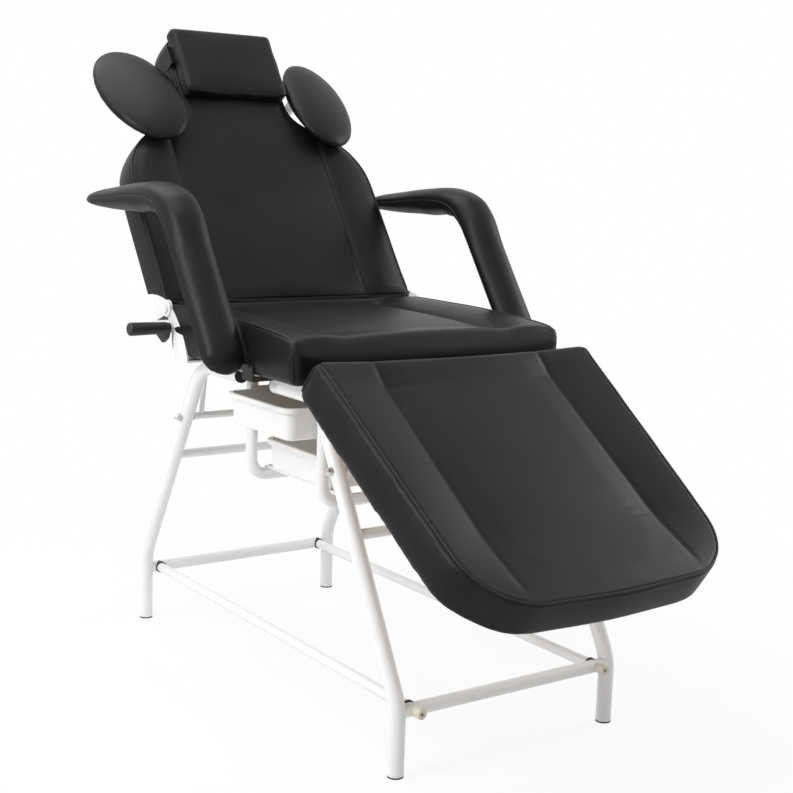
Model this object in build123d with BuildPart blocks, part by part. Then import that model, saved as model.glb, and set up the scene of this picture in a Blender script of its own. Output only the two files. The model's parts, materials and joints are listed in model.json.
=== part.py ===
"""Tattoo chair: a white tube base with two pull-out trays, a seat, a reclining backrest with a sliding
pillow and two head-side pads, a tilting leg rest and two swing-down armrests. Millimetres, +Z up,
-Y is the foot end and +X is the sitter's left. The origin is on the floor under the middle."""

import os
from math import cos, radians, sin, tan

from build123d import *

os.makedirs("parts", exist_ok=True)

# Base frame
BASE_Y = 22.0             # the middle of the four feet, behind the origin
LEG_INSET = 61.5          # leg axes in from the panels' sides
FOOT_SPREAD = 1022.0      # between the feet, front to rear
LEG_R = 15.0
TUBE_WALL = 1.5
TOP_BAR_Z = 635.0         # axis of the short level stretch under the seat
LEAN = 29.25              # degrees from upright, above the knee
KNEE_FRONT_Z = 130.0
KNEE_REAR_Z = 153.0
KNEE_R = 110.0
TOP_BEND_R = 90.0
STUB_REACH = 70.0         # from the middle of the base to the end of a level stretch
LOWER_BAR_Z = 119.0
LOWER_BAR_R = 12.5
SIDE_BAR_R = 10.5
SIDE_BAR_INSET = 32.0
UPPER_BAR_FRONT_Z = 403.0
UPPER_BAR_REAR_Z = 417.0
UPPER_BAR_R = 10.0
SPREADER_Z = 511.0
SPREADER_R = 8.0
STAY_INSET = 35.0         # stays in from the leg axes
STAY_R = 5.5

# Clearances
SEAT_GAP = 0.3            # between pieces that rest on each other
WELD_GAP = 0.1            # between welded tubes
RUN_GAP = 0.06            # radial, a pin in its hole
OVERRUN = 30.0            # how far a cut runs past what it cuts
SKIRT_GAP = 1.0           # upholstery above the rails

# Upholstered panels
PANEL_W = 623.0
PANEL_BULGE = 2.0         # how far the sides stand out at mid height
PANEL_T = 80.0            # backrest and leg rest, below the piping
PIPED_EDGE_R = 5.0
BOARD_T = 12.0
BOARD_INSET = 26.0
CREASE_INSET = 116.5      # creases in from the sides
CROWN = 14.0              # middle of the backrest above its piping
BOLSTER_BULGE = 6.0       # how far the side stretch beyond a crease stands above a straight line
BACK_CREASE_N = 3.0       # height of the backrest's creases above the piping
SEAT_CREASE_N = -17.0     # the seat's middle lies below its piping
SEAT_MIDDLE_N = -14.0
DISH_DEPTH = 20.0         # the leg rest's middle lies below its piping
DISH_END = 8.0
DISH_SLOPE_END = 26.0

# Seat
SEAT_L = 510.0
SEAT_MID_Y = 29.0
SEAT_T = 105.0
SEAT_NOSE_DROP = 22.0     # the front edge below the rear one
SEAT_NOSE_R = 24.0
RAIL_T = 10.0
RAIL_W = 40.0
RAIL_FRONT_OUT = 2.0      # rails past the seat's front
RAIL_REAR_OUT = 39.0
CROSS_RAIL_W = 30.0

# Backrest, in a frame with its origin at the lower edge of the front piping
BACK_ANGLE = 55.2         # degrees from level
RECLINE_BEHIND = 7.0      # pivot behind the seat's rear
RECLINE_Z = 754.0
RECLINE_TO_EDGE = 16.5    # pivot to the backrest's lower end
RECLINE_PROUD = 2.3       # pivot in front of the piping plane
BACK_L = 712.0
NECK_HALF_W = 138.0
SHOULDER_S = 390.0        # where the side line meets the shoulder line
NECK_S = 487.0            # where the shoulder line meets the neck line
SHOULDER_R = 150.0
NECK_R = 66.0
HEAD_R = 58.0
CORNER_R = 14.0

# Leg rest, in a frame with its origin at the rear edge of the top piping
LEGREST_ANGLE = 35.2      # degrees below level
LEGREST_AHEAD = 14.0      # hinge ahead of the seat's front
LEGREST_Z = 655.0
LEGREST_TO_EDGE = 14.3
LEGREST_HINGE_DEPTH = 10.8    # hinge axis below the underside
LEGREST_L = 577.0
LEGREST_TAPER = 29.0      # how far each side draws in at the foot end
LEGREST_END_R = 95.0
LEGREST_END_BOW = 4.0

# Armrests
ARM_GAP = 8.5             # between the panels' sides and an armrest
ARM_W = 86.0
ARM_PIVOT_Y = -55.0
ARM_PIVOT_Z = 688.0
ARM_LOW_Y = -72.0         # middle of the rounded lower end
ARM_LOW_Z = 684.0
POST_LEAN = 35.0          # degrees from upright
POST_HALF_T = 22.0
POST_FRONT_L = 310.0      # straight stretch of the front face, and of the rear one
POST_REAR_L = 300.0
ARM_TOP = [(152.0, 991.0), (226.0, 1013.0), (272.0, 1015.0), (360.0, 1004.0)]
ARM_UNDER = [(434.0, 954.0), (347.0, 950.0), (222.0, 959.0)]
ARM_TIP_Y = 541.0
ARM_TIP_Z = 971.0
ARM_TIP_HALF = 9.0
ARM_PLATE_T = 5.0

# Trays and their hangers
TRAY_CLEAR = 18.0         # between a tray's end and a hanger's axis
TRAY_W = 252.0
TRAY_H = 66.0
TRAY_WALL = 2.2
TRAY_LIP = 6.5
TRAY_SKIRT = 10.0
TRAY_CORNER_R = 22.0
TRAY_DRAFT = 5.0
TRAY_FLOOR_R = 6.5
RIM_ROUND_SHARE = 0.45
UPPER_TRAY_TOP_Z = 596.5
UPPER_TRAY_OUT = 94.0     # pulled out to the side, at rest
HANGER_INSET = 67.0       # hangers in from the leg axes
HANGER_Y = 141.0
HANGER_R = 12.5
HANGER_BOTTOM_Z = 408.0
HANGER_BEND_R = 36.0
STRAP_INSET = 47.0        # straps in from the hangers' axes
STRAP_W = 20.0
STRAP_T = 4.0
TRAY_RAIL_T = 2.0

# Recline cheeks, wings and lever
PLATE_T = 4.0
LUG_R = 18.0
PIN_R = 6.0
CHEEK_T = 3.2
CHEEK_GAP = 1.0           # between the panels' sides and a cheek
LEVER_AHEAD = 24.0        # of the recline pivot
LEVER_Z = 716.0
LEVER_STUD_R = 4.5
LEVER_CAM_T = 8.0
GRIP_L = 84.0
GRIP_R = 14.0

# Head end
EAR_HALF_W = 92.0
EAR_HALF_L = 153.0
EAR_RISE = 30.0
EAR_DROP = 10.0           # middle plane to the flat back
EAR_X = 234.0
EAR_S = 533.0
EAR_N = -3.0
EAR_SPLAY = 10.0          # degrees, upper end outwards
EAR_PITCH = 16.0          # degrees, upper end backwards
EAR_DROOP = 10.0          # degrees, outer edge backwards
EAR_BRACKET_S = 575.0
EAR_AXIS_X = 206.0
PILLOW_W = 258.0
PILLOW_L = 196.0
PILLOW_S = 608.0
PILLOW_LIFT = 20.0        # its underside above the piping plane
PILLOW_T = 24.5
PILLOW_CROWN = 8.0
STRAP_BAND_T = 2.0
STRAP_BAND_W = 46.0
STRAP_BAND_S = 640.0

# Worked out from the sizes above
LEG_SPREAD = PANEL_W - 2 * LEG_INSET
SIDES = {"left": 1, "right": -1}
LEG_X = LEG_SPREAD / 2
STAY_X = LEG_X - STAY_INSET
HANGER_X = LEG_X - HANGER_INSET
STRAP_X = HANGER_X - STRAP_INSET
TRAY_L = 2 * (HANGER_X - TRAY_CLEAR)
SEAT_FRONT_Y = SEAT_MID_Y - SEAT_L / 2
SEAT_REAR_Y = SEAT_MID_Y + SEAT_L / 2
RAIL_FRONT = BASE_Y - SEAT_FRONT_Y + RAIL_FRONT_OUT
RAIL_REAR = SEAT_REAR_Y + RAIL_REAR_OUT - BASE_Y
RECLINE_Y = SEAT_REAR_Y + RECLINE_BEHIND
LEVER_Y = RECLINE_Y - LEVER_AHEAD
LEGREST_Y = SEAT_FRONT_Y - LEGREST_AHEAD
FOOT_REACH = FOOT_SPREAD / 2
RAIL_Z = TOP_BAR_Z + LEG_R
SEAT_BASE_Z = RAIL_Z + RAIL_T
PANEL_HALF = PANEL_W / 2
CREASE_X = PANEL_HALF - CREASE_INSET
PANEL_SIDE = PANEL_HALF + PANEL_BULGE
CHEEK_X = PANEL_SIDE + CHEEK_GAP
WING_X = CHEEK_X + CHEEK_T + SEAT_GAP
CAM_X = WING_X + 2 * CHEEK_T + 2 * SEAT_GAP
ARM_X = PANEL_SIDE + ARM_GAP + ARM_W / 2
UP_BACK = Vector(0, cos(radians(BACK_ANGLE)), sin(radians(BACK_ANGLE)))
OUT_BACK = Vector(0, -sin(radians(BACK_ANGLE)), cos(radians(BACK_ANGLE)))
BACK_ORIGIN = Vector(0, RECLINE_Y, RECLINE_Z) + UP_BACK * RECLINE_TO_EDGE - OUT_BACK * RECLINE_PROUD
BACK = Plane(origin=BACK_ORIGIN, x_dir=(1, 0, 0), z_dir=OUT_BACK)
OUT_LEGREST = Vector(0, -sin(radians(LEGREST_ANGLE)), cos(radians(LEGREST_ANGLE)))
DOWN_LEGREST = Vector(0, -cos(radians(LEGREST_ANGLE)), -sin(radians(LEGREST_ANGLE)))
LEGREST_ORIGIN = (
    Vector(0, LEGREST_Y, LEGREST_Z)
    + DOWN_LEGREST * LEGREST_TO_EDGE
    + OUT_LEGREST * (LEGREST_HINGE_DEPTH + PANEL_T)
)
LEGREST = Plane(origin=LEGREST_ORIGIN, x_dir=(1, 0, 0), z_dir=OUT_LEGREST)
SEAT = Plane(origin=(0, SEAT_MID_Y, SEAT_BASE_Z + SKIRT_GAP + SEAT_T), z_dir=(0, 0, 1))


def facing_x(x):
    """A plane square to X, with its own x along Y and its own y along Z."""
    return Plane(origin=(x, 0, 0), x_dir=(0, 1, 0), z_dir=(1, 0, 0))


def leg_lean_y(z, knee_z):
    """How far a leg's axis stands from the middle of the base at height z, above the knee."""
    return FOOT_REACH - (z - knee_z) * tan(radians(LEAN))


# Legs: four bent tubes, each with a foot, a leaning stretch and a level stub under the seat
LEG_BOLT_R = 4.0
FOOT_PLUG_T = 3.0
FOOT_PLUG_DEPTH = 14.0
ENDS = {"front": (-1, KNEE_FRONT_Z, UPPER_BAR_FRONT_Z), "rear": (1, KNEE_REAR_Z, UPPER_BAR_REAR_Z)}


def leg_run(way, knee_z, hand, radius):
    """A round bar along a leg's axis."""
    with BuildPart() as run:
        with BuildLine(facing_x(hand * LEG_X)) as axis:
            FilletPolyline(
                (BASE_Y + way * FOOT_REACH, FOOT_PLUG_T),
                (BASE_Y + way * FOOT_REACH, knee_z),
                (BASE_Y + way * leg_lean_y(TOP_BAR_Z, knee_z), TOP_BAR_Z),
                (BASE_Y + way * STUB_REACH, TOP_BAR_Z),
                radius=[KNEE_R, TOP_BEND_R],
            )
        with BuildSketch(Plane(origin=axis.line @ 0, z_dir=axis.line % 0)):
            Circle(radius)
        sweep(path=axis.line)
    return run.part


for end, (way, knee_z, bar_z) in ENDS.items():
    for side, hand in SIDES.items():
        with BuildPart() as leg:
            add(leg_run(way, knee_z, hand, LEG_R))
            add(leg_run(way, knee_z, hand, LEG_R - TUBE_WALL), mode=Mode.SUBTRACT)
            with BuildSketch(facing_x(hand * LEG_X)):
                with Locations((BASE_Y + way * leg_lean_y(SPREADER_Z, knee_z), SPREADER_Z)):
                    Circle(LEG_BOLT_R + SEAT_GAP)
            extrude(amount=OVERRUN, both=True, mode=Mode.SUBTRACT)
        leg.part.label = f"leg_{end}_{side}"
        export_step(leg.part, f"parts/leg_{end}_{side}.step")

with BuildPart() as foot_plugs:
    for corner in GridLocations(LEG_SPREAD, FOOT_SPREAD, 2, 2):
        x, y = corner.position.X, corner.position.Y + BASE_Y
        with BuildSketch(Plane.XY):
            with Locations((x, y)):
                Circle(LEG_R)
        extrude(amount=FOOT_PLUG_T)
        with BuildSketch(Plane.XY.offset(FOOT_PLUG_T)):
            with Locations((x, y)):
                Circle(LEG_R - TUBE_WALL - WELD_GAP)
        extrude(amount=FOOT_PLUG_DEPTH)
foot_plugs.part.label = "foot_plugs"
export_step(foot_plugs.part, "parts/foot_plugs.step")

# Black plugs that close the level stubs
STUB_PLUG_T = 3.0
STUB_PLUG_DEPTH = 12.0
with BuildPart() as stub_plugs:
    for way in (-1, 1):
        face = Plane(origin=(0, BASE_Y + way * STUB_REACH, TOP_BAR_Z), x_dir=(1, 0, 0), z_dir=(0, -way, 0))
        with BuildSketch(face):
            with GridLocations(LEG_SPREAD, 0, 2, 1):
                Circle(LEG_R)
        extrude(amount=STUB_PLUG_T)
        with BuildSketch(face):
            with GridLocations(LEG_SPREAD, 0, 2, 1):
                Circle(LEG_R - TUBE_WALL - WELD_GAP)
        extrude(amount=-STUB_PLUG_DEPTH)
stub_plugs.part.label = "stub_plugs"
export_step(stub_plugs.part, "parts/stub_plugs.step")

# Cross bars, cut to the round of the legs that they are welded to
for end, (way, knee_z, bar_z) in ENDS.items():
    with BuildPart() as lower_bar:
        with BuildSketch(Plane.YZ):
            with Locations((BASE_Y + way * FOOT_REACH, LOWER_BAR_Z)):
                Circle(LOWER_BAR_R)
                Circle(LOWER_BAR_R - TUBE_WALL, mode=Mode.SUBTRACT)
        extrude(amount=LEG_X, both=True)
        for hand in SIDES.values():
            add(leg_run(way, knee_z, hand, LEG_R + WELD_GAP), mode=Mode.SUBTRACT)
    lower_bar.part.label = f"lower_bar_{end}"
    export_step(lower_bar.part, f"parts/lower_bar_{end}.step")

    bar_y = BASE_Y + way * leg_lean_y(bar_z, knee_z)
    with BuildPart() as upper_bar:
        with BuildSketch(Plane.YZ):
            with Locations((bar_y, bar_z)):
                Circle(UPPER_BAR_R)
                Circle(UPPER_BAR_R - TUBE_WALL, mode=Mode.SUBTRACT)
        extrude(amount=LEG_X, both=True)
        for hand in SIDES.values():
            add(leg_run(way, knee_z, hand, LEG_R + WELD_GAP), mode=Mode.SUBTRACT)
    upper_bar.part.label = f"upper_bar_{end}"
    export_step(upper_bar.part, f"parts/upper_bar_{end}.step")

# Side bars run from the rear lower bar to the front one, on black saddles, with a cream cap in front
SADDLE_T = 2.0
SADDLE_R = SIDE_BAR_R + 1.5 * TUBE_WALL
CAP_R = 10.0
CAP_L = 19.0
CAP_HOLE_R = 2.8
SIDE_BAR_X = LEG_X - SIDE_BAR_INSET
side_bar_reach = FOOT_REACH - LOWER_BAR_R - SADDLE_T
with BuildPart() as side_bars:
    with BuildSketch(Plane.XZ.offset(-BASE_Y)):
        with Locations((0, LOWER_BAR_Z)):
            with GridLocations(2 * SIDE_BAR_X, 0, 2, 1):
                Circle(SIDE_BAR_R)
                Circle(SIDE_BAR_R - TUBE_WALL, mode=Mode.SUBTRACT)
    extrude(amount=side_bar_reach, both=True)
side_bars.part.label = "side_bars"
export_step(side_bars.part, "parts/side_bars.step")

with BuildPart() as side_bar_saddles:
    for way in (-1, 1):
        with BuildSketch(Plane.XZ.offset(-BASE_Y - way * FOOT_REACH)):
            with Locations((0, LOWER_BAR_Z)):
                with GridLocations(2 * SIDE_BAR_X, 0, 2, 1):
                    Circle(SADDLE_R)
        extrude(amount=way * (LOWER_BAR_R + SADDLE_T - SEAT_GAP / 2))
    with BuildSketch(Plane.YZ):
        with Locations((BASE_Y, LOWER_BAR_Z)):
            with GridLocations(FOOT_SPREAD, 0, 2, 1):
                Circle(LOWER_BAR_R + WELD_GAP)
    extrude(amount=LEG_X, both=True, mode=Mode.SUBTRACT)
side_bar_saddles.part.label = "side_bar_saddles"
export_step(side_bar_saddles.part, "parts/side_bar_saddles.step")

with BuildPart() as side_bar_caps:
    with BuildSketch(Plane.XZ.offset(FOOT_REACH - BASE_Y)):
        with Locations((0, LOWER_BAR_Z)):
            with GridLocations(2 * SIDE_BAR_X, 0, 2, 1):
                Circle(CAP_R)
                Circle(CAP_HOLE_R, mode=Mode.SUBTRACT)
    extrude(amount=LOWER_BAR_R + CAP_L)
    chamfer(side_bar_caps.edges().group_by(Axis.Y)[0].filter_by(GeomType.CIRCLE), length=TUBE_WALL)
    with BuildSketch(Plane.YZ):
        with Locations((BASE_Y - FOOT_REACH, LOWER_BAR_Z)):
            Circle(LOWER_BAR_R + WELD_GAP)
    extrude(amount=LEG_X, both=True, mode=Mode.SUBTRACT)
side_bar_caps.part.label = "side_bar_caps"
export_step(side_bar_caps.part, "parts/side_bar_caps.step")

# Spreader rods with turned ends through the legs, held by dome nuts
STUD_R = LEG_BOLT_R
WASHER_R = 8.5
WASHER_T = 1.6
NUT_ACROSS = 13.0
NUT_T = 6.5
DOME_R = 6.0
DOME_H = 5.5
stud_reach = LEG_X + LEG_R + WASHER_T + NUT_T
with BuildPart() as spreader_rods:
    for way, knee_z, _ in ENDS.values():
        centre = (BASE_Y + way * leg_lean_y(SPREADER_Z, knee_z), SPREADER_Z)
        with BuildSketch(Plane.YZ):
            with Locations(centre):
                Circle(SPREADER_R)
        extrude(amount=LEG_X - LEG_R - SEAT_GAP, both=True)
        with BuildSketch(Plane.YZ):
            with Locations(centre):
                Circle(STUD_R)
        extrude(amount=stud_reach, both=True)
spreader_rods.part.label = "spreader_rods"
export_step(spreader_rods.part, "parts/spreader_rods.step")

with BuildPart() as dome_nuts:
    for way, knee_z, _ in ENDS.values():
        nut_y = BASE_Y + way * leg_lean_y(SPREADER_Z, knee_z)
        for hand in SIDES.values():
            seat_x = hand * (LEG_X + LEG_R + SEAT_GAP)
            outward = Plane(origin=(seat_x, nut_y, SPREADER_Z), x_dir=(0, 1, 0), z_dir=(hand, 0, 0))
            with BuildSketch(outward):
                Circle(WASHER_R)
            extrude(amount=WASHER_T)
            with BuildSketch(outward.offset(WASHER_T)):
                RegularPolygon(NUT_ACROSS / 2, 6, major_radius=False)
            extrude(amount=NUT_T)
            with BuildSketch(outward.offset(WASHER_T + NUT_T)):
                Circle(DOME_R)
            extrude(amount=DOME_H, taper=OVERRUN)
            with BuildSketch(outward):
                Circle(STUD_R + WELD_GAP)
            extrude(amount=WASHER_T + NUT_T, mode=Mode.SUBTRACT)
dome_nuts.part.label = "dome_nuts"
export_step(dome_nuts.part, "parts/dome_nuts.step")

# Rails under the seat: two along the sides, four across
CROSS_RAIL_X = LEG_X - RAIL_W / 2
front_cross_y = BASE_Y - RAIL_FRONT + CROSS_RAIL_W / 2
rear_cross_y = BASE_Y + RAIL_REAR - CROSS_RAIL_W / 2
SEAT_BOLT_R = 4.0
SEAT_BOLT_HEAD_R = 6.5
SEAT_BOLT_HEAD_T = 5.0
SEAT_BOLT_DEPTH = 8.0
SEAT_BOLT_SPACING = 240.0
with BuildPart() as seat_rails:
    with BuildSketch(Plane.XY.offset(RAIL_Z)):
        with Locations((0, BASE_Y + (RAIL_REAR - RAIL_FRONT) / 2)):
            with GridLocations(LEG_SPREAD, 0, 2, 1):
                Rectangle(RAIL_W, RAIL_REAR + RAIL_FRONT)
        with Locations((0, BASE_Y)):
            with GridLocations(LEG_SPREAD, SEAT_BOLT_SPACING / 2, 2, 2):
                Circle(SEAT_BOLT_R + SEAT_GAP, mode=Mode.SUBTRACT)
    extrude(amount=RAIL_T)
seat_rails.part.label = "seat_rails"
export_step(seat_rails.part, "parts/seat_rails.step")

with BuildPart() as cross_rails:
    with BuildSketch(Plane.XY.offset(RAIL_Z)):
        for y in (front_cross_y, BASE_Y - HANGER_Y, BASE_Y + HANGER_Y, rear_cross_y):
            with Locations((0, y)):
                Rectangle(2 * (CROSS_RAIL_X - WELD_GAP), CROSS_RAIL_W)
    extrude(amount=RAIL_T)
cross_rails.part.label = "cross_rails"
export_step(cross_rails.part, "parts/cross_rails.step")

with BuildPart() as seat_bolts:
    with BuildSketch(Plane.XY.offset(RAIL_Z)):
        with Locations((0, BASE_Y)):
            with GridLocations(LEG_SPREAD, SEAT_BOLT_SPACING / 2, 2, 2):
                RegularPolygon(SEAT_BOLT_HEAD_R, 6, major_radius=False)
    extrude(amount=-SEAT_BOLT_HEAD_T)
    with BuildSketch(Plane.XY.offset(RAIL_Z)):
        with Locations((0, BASE_Y)):
            with GridLocations(LEG_SPREAD, SEAT_BOLT_SPACING / 2, 2, 2):
                Circle(SEAT_BOLT_R)
    extrude(amount=RAIL_T + SEAT_BOLT_DEPTH)
seat_bolts.part.label = "seat_bolts"
export_step(seat_bolts.part, "parts/seat_bolts.step")

# Slim stays from the spreader rods up to the end cross rails
with BuildPart() as stay_rods:
    for way, knee_z, top_y in ((-1, KNEE_FRONT_Z, front_cross_y), (1, KNEE_REAR_Z, rear_cross_y)):
        low_y = BASE_Y + way * leg_lean_y(SPREADER_Z, knee_z)
        for hand in SIDES.values():
            low = Vector(hand * STAY_X, low_y, SPREADER_Z)
            along = Vector(hand * STAY_X, top_y, RAIL_Z) - low
            with BuildSketch(Plane(origin=low, x_dir=(1, 0, 0), z_dir=along)):
                Circle(STAY_R)
            extrude(amount=along.length + OVERRUN)
    with BuildSketch(Plane.XY.offset(RAIL_Z)):
        Rectangle(2 * LEG_X, 2 * FOOT_REACH)
    extrude(amount=2 * OVERRUN, mode=Mode.SUBTRACT)
    for way, knee_z, _ in ENDS.values():
        with BuildSketch(Plane.YZ):
            with Locations((BASE_Y + way * leg_lean_y(SPREADER_Z, knee_z), SPREADER_Z)):
                Circle(SPREADER_R + WELD_GAP)
        extrude(amount=LEG_X, both=True, mode=Mode.SUBTRACT)
stay_rods.part.label = "stay_rods"
export_step(stay_rods.part, "parts/stay_rods.step")

# U hangers, the straps that carry the lower tray and the rails that carry the upper one
for end, (way, _, _) in ENDS.items():
    with BuildPart() as hanger:
        with BuildLine(Plane.XZ.offset(-BASE_Y - way * HANGER_Y)) as axis:
            FilletPolyline(
                (-HANGER_X, RAIL_Z),
                (-HANGER_X, HANGER_BOTTOM_Z),
                (HANGER_X, HANGER_BOTTOM_Z),
                (HANGER_X, RAIL_Z),
                radius=HANGER_BEND_R,
            )
        with BuildSketch(Plane(origin=axis.line @ 0, z_dir=axis.line % 0)):
            Circle(HANGER_R)
            Circle(HANGER_R - TUBE_WALL, mode=Mode.SUBTRACT)
        sweep(path=axis.line)
    hanger.part.label = f"hanger_{end}"
    export_step(hanger.part, f"parts/hanger_{end}.step")

STRAP_Z = HANGER_BOTTOM_Z + HANGER_R
SCREW_R = 2.5
SCREW_HEAD_R = 4.5
SCREW_HEAD_T = 2.5
STRAP_OVERHANG = 9.0
with BuildPart() as tray_straps:
    with BuildSketch(Plane.XY.offset(STRAP_Z)):
        with Locations((0, BASE_Y)):
            with GridLocations(2 * STRAP_X, 0, 2, 1):
                Rectangle(STRAP_W, 2 * (HANGER_Y + STRAP_OVERHANG))
            with GridLocations(2 * STRAP_X, 2 * HANGER_Y, 2, 2):
                Circle(SCREW_R + WELD_GAP, mode=Mode.SUBTRACT)
    extrude(amount=STRAP_T)
tray_straps.part.label = "tray_straps"
export_step(tray_straps.part, "parts/tray_straps.step")

with BuildPart() as strap_screws:
    with BuildSketch(Plane.XY.offset(STRAP_Z + STRAP_T)):
        with Locations((0, BASE_Y)):
            with GridLocations(2 * STRAP_X, 2 * HANGER_Y, 2, 2):
                Circle(SCREW_HEAD_R)
    extrude(amount=SCREW_HEAD_T, taper=LEAN)
    with BuildSketch(Plane.XY.offset(STRAP_Z)):
        with Locations((0, BASE_Y)):
            with GridLocations(2 * STRAP_X, 2 * HANGER_Y, 2, 2):
                Circle(SCREW_R)
    extrude(amount=STRAP_T)
strap_screws.part.label = "strap_screws"
export_step(strap_screws.part, "parts/strap_screws.step")

rail_inner = TRAY_W / 2 - TRAY_LIP + SEAT_GAP
rail_outer = HANGER_Y - HANGER_R
UPPER_RAIL_Z = UPPER_TRAY_TOP_Z - TRAY_SKIRT - SEAT_GAP
TRAY_RAIL_H = 16.0
with BuildPart() as tray_rails:
    for way in (-1, 1):
        with BuildSketch(Plane.YZ):
            with BuildLine():
                Polyline(
                    (BASE_Y + way * rail_inner, UPPER_RAIL_Z),
                    (BASE_Y + way * (rail_outer - TRAY_RAIL_T), UPPER_RAIL_Z),
                    (BASE_Y + way * (rail_outer - TRAY_RAIL_T), UPPER_RAIL_Z + TRAY_RAIL_H),
                    (BASE_Y + way * rail_outer, UPPER_RAIL_Z + TRAY_RAIL_H),
                    (BASE_Y + way * rail_outer, UPPER_RAIL_Z - TRAY_RAIL_T),
                    (BASE_Y + way * rail_inner, UPPER_RAIL_Z - TRAY_RAIL_T),
                    close=True,
                )
            make_face()
        extrude(amount=HANGER_X + HANGER_R, both=True)
tray_rails.part.label = "tray_rails"
export_step(tray_rails.part, "parts/tray_rails.step")


# Trays: tapered tubs with a turned-down rim
def tray(mid_x, top_z):
    """A moulded tub whose rim top is at top_z."""
    body_l = TRAY_L - 2 * TRAY_LIP
    body_w = TRAY_W - 2 * TRAY_LIP
    top = Plane(origin=(mid_x, BASE_Y, top_z))
    with BuildPart() as tub:
        with BuildSketch(top):
            RectangleRounded(body_l, body_w, TRAY_CORNER_R)
        extrude(amount=-TRAY_H, taper=TRAY_DRAFT)
        fillet(tub.edges().group_by(Axis.Z)[0], radius=TRAY_FLOOR_R)
        with BuildSketch(top):
            RectangleRounded(TRAY_L, TRAY_W, TRAY_CORNER_R + TRAY_LIP)
        extrude(amount=-TRAY_WALL)
        with BuildSketch(top):
            RectangleRounded(TRAY_L, TRAY_W, TRAY_CORNER_R + TRAY_LIP)
            RectangleRounded(
                TRAY_L - 2 * TRAY_WALL,
                TRAY_W - 2 * TRAY_WALL,
                TRAY_CORNER_R + TRAY_LIP - TRAY_WALL,
                mode=Mode.SUBTRACT,
            )
        extrude(amount=-TRAY_SKIRT)
        with BuildSketch(top):
            RectangleRounded(body_l - 2 * TRAY_WALL, body_w - 2 * TRAY_WALL, TRAY_CORNER_R - TRAY_WALL)
        extrude(amount=TRAY_WALL - TRAY_H, taper=TRAY_DRAFT, mode=Mode.SUBTRACT)
        floor = tub.faces().filter_by(Axis.Z).sort_by(Axis.Z)[1]
        fillet(floor.edges(), radius=TRAY_FLOOR_R - TRAY_WALL)
        rim = tub.faces().filter_by(Axis.Z).sort_by(Axis.Z)[-1]
        fillet(rim.edges(), radius=TRAY_WALL * RIM_ROUND_SHARE)
    return tub


upper_tray = tray(-UPPER_TRAY_OUT, UPPER_TRAY_TOP_Z)
upper_tray.part.label = "upper_tray"
export_step(upper_tray.part, "parts/upper_tray.step")

LOWER_TRAY_TOP_Z = STRAP_Z + STRAP_T + SEAT_GAP + TRAY_H
lower_tray = tray(0, LOWER_TRAY_TOP_Z)
lower_tray.part.label = "lower_tray"
export_step(lower_tray.part, "parts/lower_tray.step")


# Upholstered panels
def panel_section(thickness, crease_n, middle_n):
    """Outline across a panel, seen along it: flat below, full sides, two creases in the top.
    The piping is at height 0."""
    bolster = (CREASE_X + PANEL_HALF) / 2
    bolster_n = crease_n / 2 + BOLSTER_BULGE
    with BuildSketch() as section:
        with BuildLine():
            Line((-PANEL_HALF, -thickness), (PANEL_HALF, -thickness))
            ThreePointArc((PANEL_HALF, -thickness), (PANEL_SIDE, -thickness / 2), (PANEL_HALF, 0))
            ThreePointArc((PANEL_HALF, 0), (bolster, bolster_n), (CREASE_X, crease_n))
            ThreePointArc((CREASE_X, crease_n), (0, middle_n), (-CREASE_X, crease_n))
            ThreePointArc((-CREASE_X, crease_n), (-bolster, bolster_n), (-PANEL_HALF, 0))
            ThreePointArc((-PANEL_HALF, 0), (-PANEL_SIDE, -thickness / 2), (-PANEL_HALF, -thickness))
        make_face()
    return section.sketch


# Seat
NOSE_START_SHARE = 0.2    # where the top begins to fall towards the front
NOSE_START_N = 4.0
REAR_EDGE_N = 10.0
seat_front = -SEAT_L / 2
with BuildPart() as seat_cushion:
    with BuildSketch(SEAT.offset(-SEAT_T)):
        RectangleRounded(2 * (PANEL_SIDE + SEAT_GAP), SEAT_L + 2 * SEAT_GAP, CORNER_R)
    extrude(amount=SEAT_T + CROWN + OVERRUN)
    with BuildSketch(Plane(origin=SEAT.origin, x_dir=(1, 0, 0), z_dir=(0, -1, 0))):
        add(panel_section(SEAT_T, SEAT_CREASE_N, SEAT_MIDDLE_N))
    extrude(amount=SEAT_L, both=True, mode=Mode.INTERSECT)
    with BuildSketch(Plane(origin=SEAT.origin, x_dir=(0, 1, 0), z_dir=(1, 0, 0))):
        with BuildLine():
            Polyline(
                (-seat_front, REAR_EDGE_N),
                (-seat_front, -SEAT_T),
                (seat_front, -SEAT_T),
                (seat_front, -SEAT_NOSE_DROP - SEAT_NOSE_R),
            )
            nose = ThreePointArc(
                (seat_front, -SEAT_NOSE_DROP - SEAT_NOSE_R),
                (seat_front + SEAT_NOSE_R / 3, -SEAT_NOSE_DROP - SEAT_NOSE_R / 3),
                (seat_front + SEAT_NOSE_R, -SEAT_NOSE_DROP),
            )
            ThreePointArc(nose @ 1, (seat_front * NOSE_START_SHARE, NOSE_START_N), (-seat_front, REAR_EDGE_N))
        make_face()
    extrude(amount=PANEL_W, both=True, mode=Mode.INTERSECT)
    with BuildSketch(SEAT.offset(-SEAT_T)):
        RectangleRounded(
            PANEL_W - 2 * (BOARD_INSET - SEAT_GAP), SEAT_L - 2 * (BOARD_INSET - SEAT_GAP), CORNER_R + SEAT_GAP
        )
    extrude(amount=BOARD_T - SKIRT_GAP + SEAT_GAP, mode=Mode.SUBTRACT)
seat_cushion.part.label = "seat_cushion"
export_step(seat_cushion.part, "parts/seat_cushion.step")

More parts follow.
